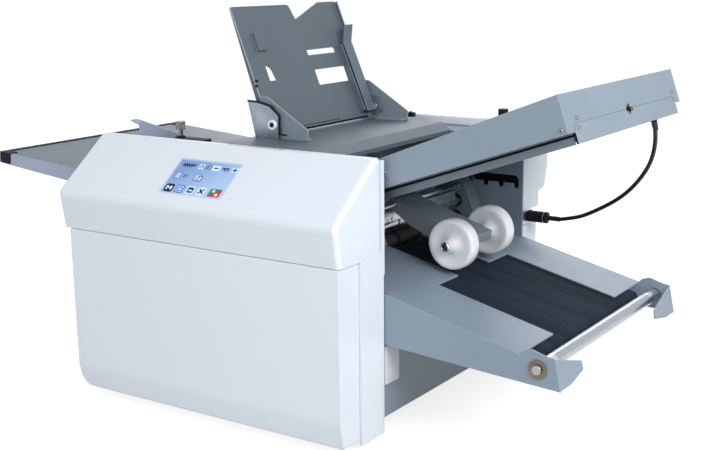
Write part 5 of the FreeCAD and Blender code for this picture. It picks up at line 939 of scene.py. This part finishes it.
# ---------- infeed guides ----------
def guide_details():
    """Black clamp blocks on the guides' leaves, each with a washer under its thumbscrew; the blocks
    are partly a clamp and partly painted shade, black where a dark wedge of shade falls under the
    thumbscrews.
    """
    for name, side in SIDES:
        # black block: partly a clamp, partly painted shade under the thumbscrew
        block = together(plate(56, 21.5, 3.0, 13.0, 1.2),
                         moved(washer(3.7, 6.6, 2.2), x=-21.0, y=side, z=13.0))
        piece(f"{name}_clamp_block_and_shade", block,
              at((-145.0, side * 120.0, 339.0), (1, 0, 0), (0, 1, 0)), f"{name}_guide",
              BLACK)


# ---------- frame trim ----------
def frame_trim():
    """Red edge at the cover, a black sheet of painted shade behind the notched slot, pale box on the
    end panel.
    """
    piece("red_edge", plate(92, 0.9, 0.3, 0.5, 0.1),
          at((38.5, -206.0, 363.9), (1, 0, 0), (0, 1, 0)), "chassis", RED_TRIM)
    # black sheet behind the slot: painted shade
    piece("slot_shade_sheet", plate(92, 35, 3, 1.0, 0.3), at((178, 196.5, 272.5), *facing(-1)),
          "chassis", BLACK)
    piece("end_box", plate(34, 53, 3, 9.0, 2.0), at((218.0, -173, 96.5), (0, 1, 0), (0, 0, 1)),
          "chassis", PALE_BOX)


# ---------- floor, room and lamps ----------
def floor():
    """Pale floor that reads white and keeps the machine's soft shadow."""
    work = bmesh.new()
    bmesh.ops.create_grid(work, x_segments=1, y_segments=1, size=30.0)
    mesh = bpy.data.meshes.new("floor")
    work.to_mesh(mesh)
    work.free()
    finish = Finish("pale_floor")
    grain = finish.noise(3, 3) * 0.02
    shade = finish.blend(grain, (0.54, 0.54, 0.545), (0.50, 0.50, 0.505))
    matt = finish.node("BsdfDiffuse", inputs={"Color": shade})
    glow = finish.node("Emission", inputs={"Color": (1.0, 1.0, 1.0), "Strength": 0.785})
    lit = finish.node("AddShader", inputs={0: matt, 1: glow})
    skin = finish.node("MixShader", inputs={0: finish.seen(), 1: matt, 2: lit})
    finish.node("OutputMaterial", inputs={"Surface": skin})
    mesh.materials.append(finish.material)
    thing = bpy.data.objects.new("floor", mesh)
    bpy.context.scene.collection.objects.link(thing)


def lamp(name, place, target, size, power):
    """A white panel of light that faces its target."""
    data = bpy.data.lights.new(name, "AREA")
    data.shape = "RECTANGLE"
    data.size, data.size_y = size
    data.energy = power
    light = bpy.data.objects.new(name, data)
    bpy.context.scene.collection.objects.link(light)
    light.location = place
    light.rotation_mode = "QUATERNION"
    light.rotation_quaternion = (Vector(target) - Vector(place)).to_track_quat("-Z", "Y")


def room():
    """White backdrop for what is seen, a soft cool room for what lights the machine."""
    world = bpy.data.worlds.new("room")
    bpy.context.scene.world = world
    world.use_nodes = True
    nodes = Nodes(world.node_tree)
    soft = nodes.node("Background", inputs={"Color": (0.90, 0.95, 1.0), "Strength": 0.42})
    white = nodes.node("Background", inputs={"Color": (1.0, 1.0, 1.0), "Strength": 1.0})
    both = nodes.node("MixShader", inputs={0: nodes.seen(), 1: soft, 2: white})
    nodes.node("OutputWorld", inputs={"Surface": both})
    bpy.context.scene.view_settings.view_transform = "Standard"


# ---------- the whole ----------
camera()
plug_ring()
cable("plate_cable", CABLE_ROUTE, radius=3.0, node="fold_plate_cable",
      pieces=[NODES["cable_plug"], cable_sleeve()])
cable("lower_cable", LOWER_CABLE_ROUTE, radius=2.4, node="lower_plate_cable")
display_marks()
fold_plate_details()
tray_details()
stacker_details()
guide_details()
frame_trim()
floor()
room()
lamp("key", (0.2, -1.4, 2.3), target=(0, 0, 0.25), size=(1.8, 1.2), power=3)
lamp("front", (0.3, -2.9, 0.9), target=(0, 0, 0.2), size=(2.6, 1.4), power=27)
lamp("side", (2.3, -0.7, 1.55), target=(0.3, 0, 0.3), size=(1.4, 1.0), power=50)
lamp("back", (-0.8, 2.0, 1.5), target=(0, 0, 0.3), size=(2.0, 1.0), power=16)
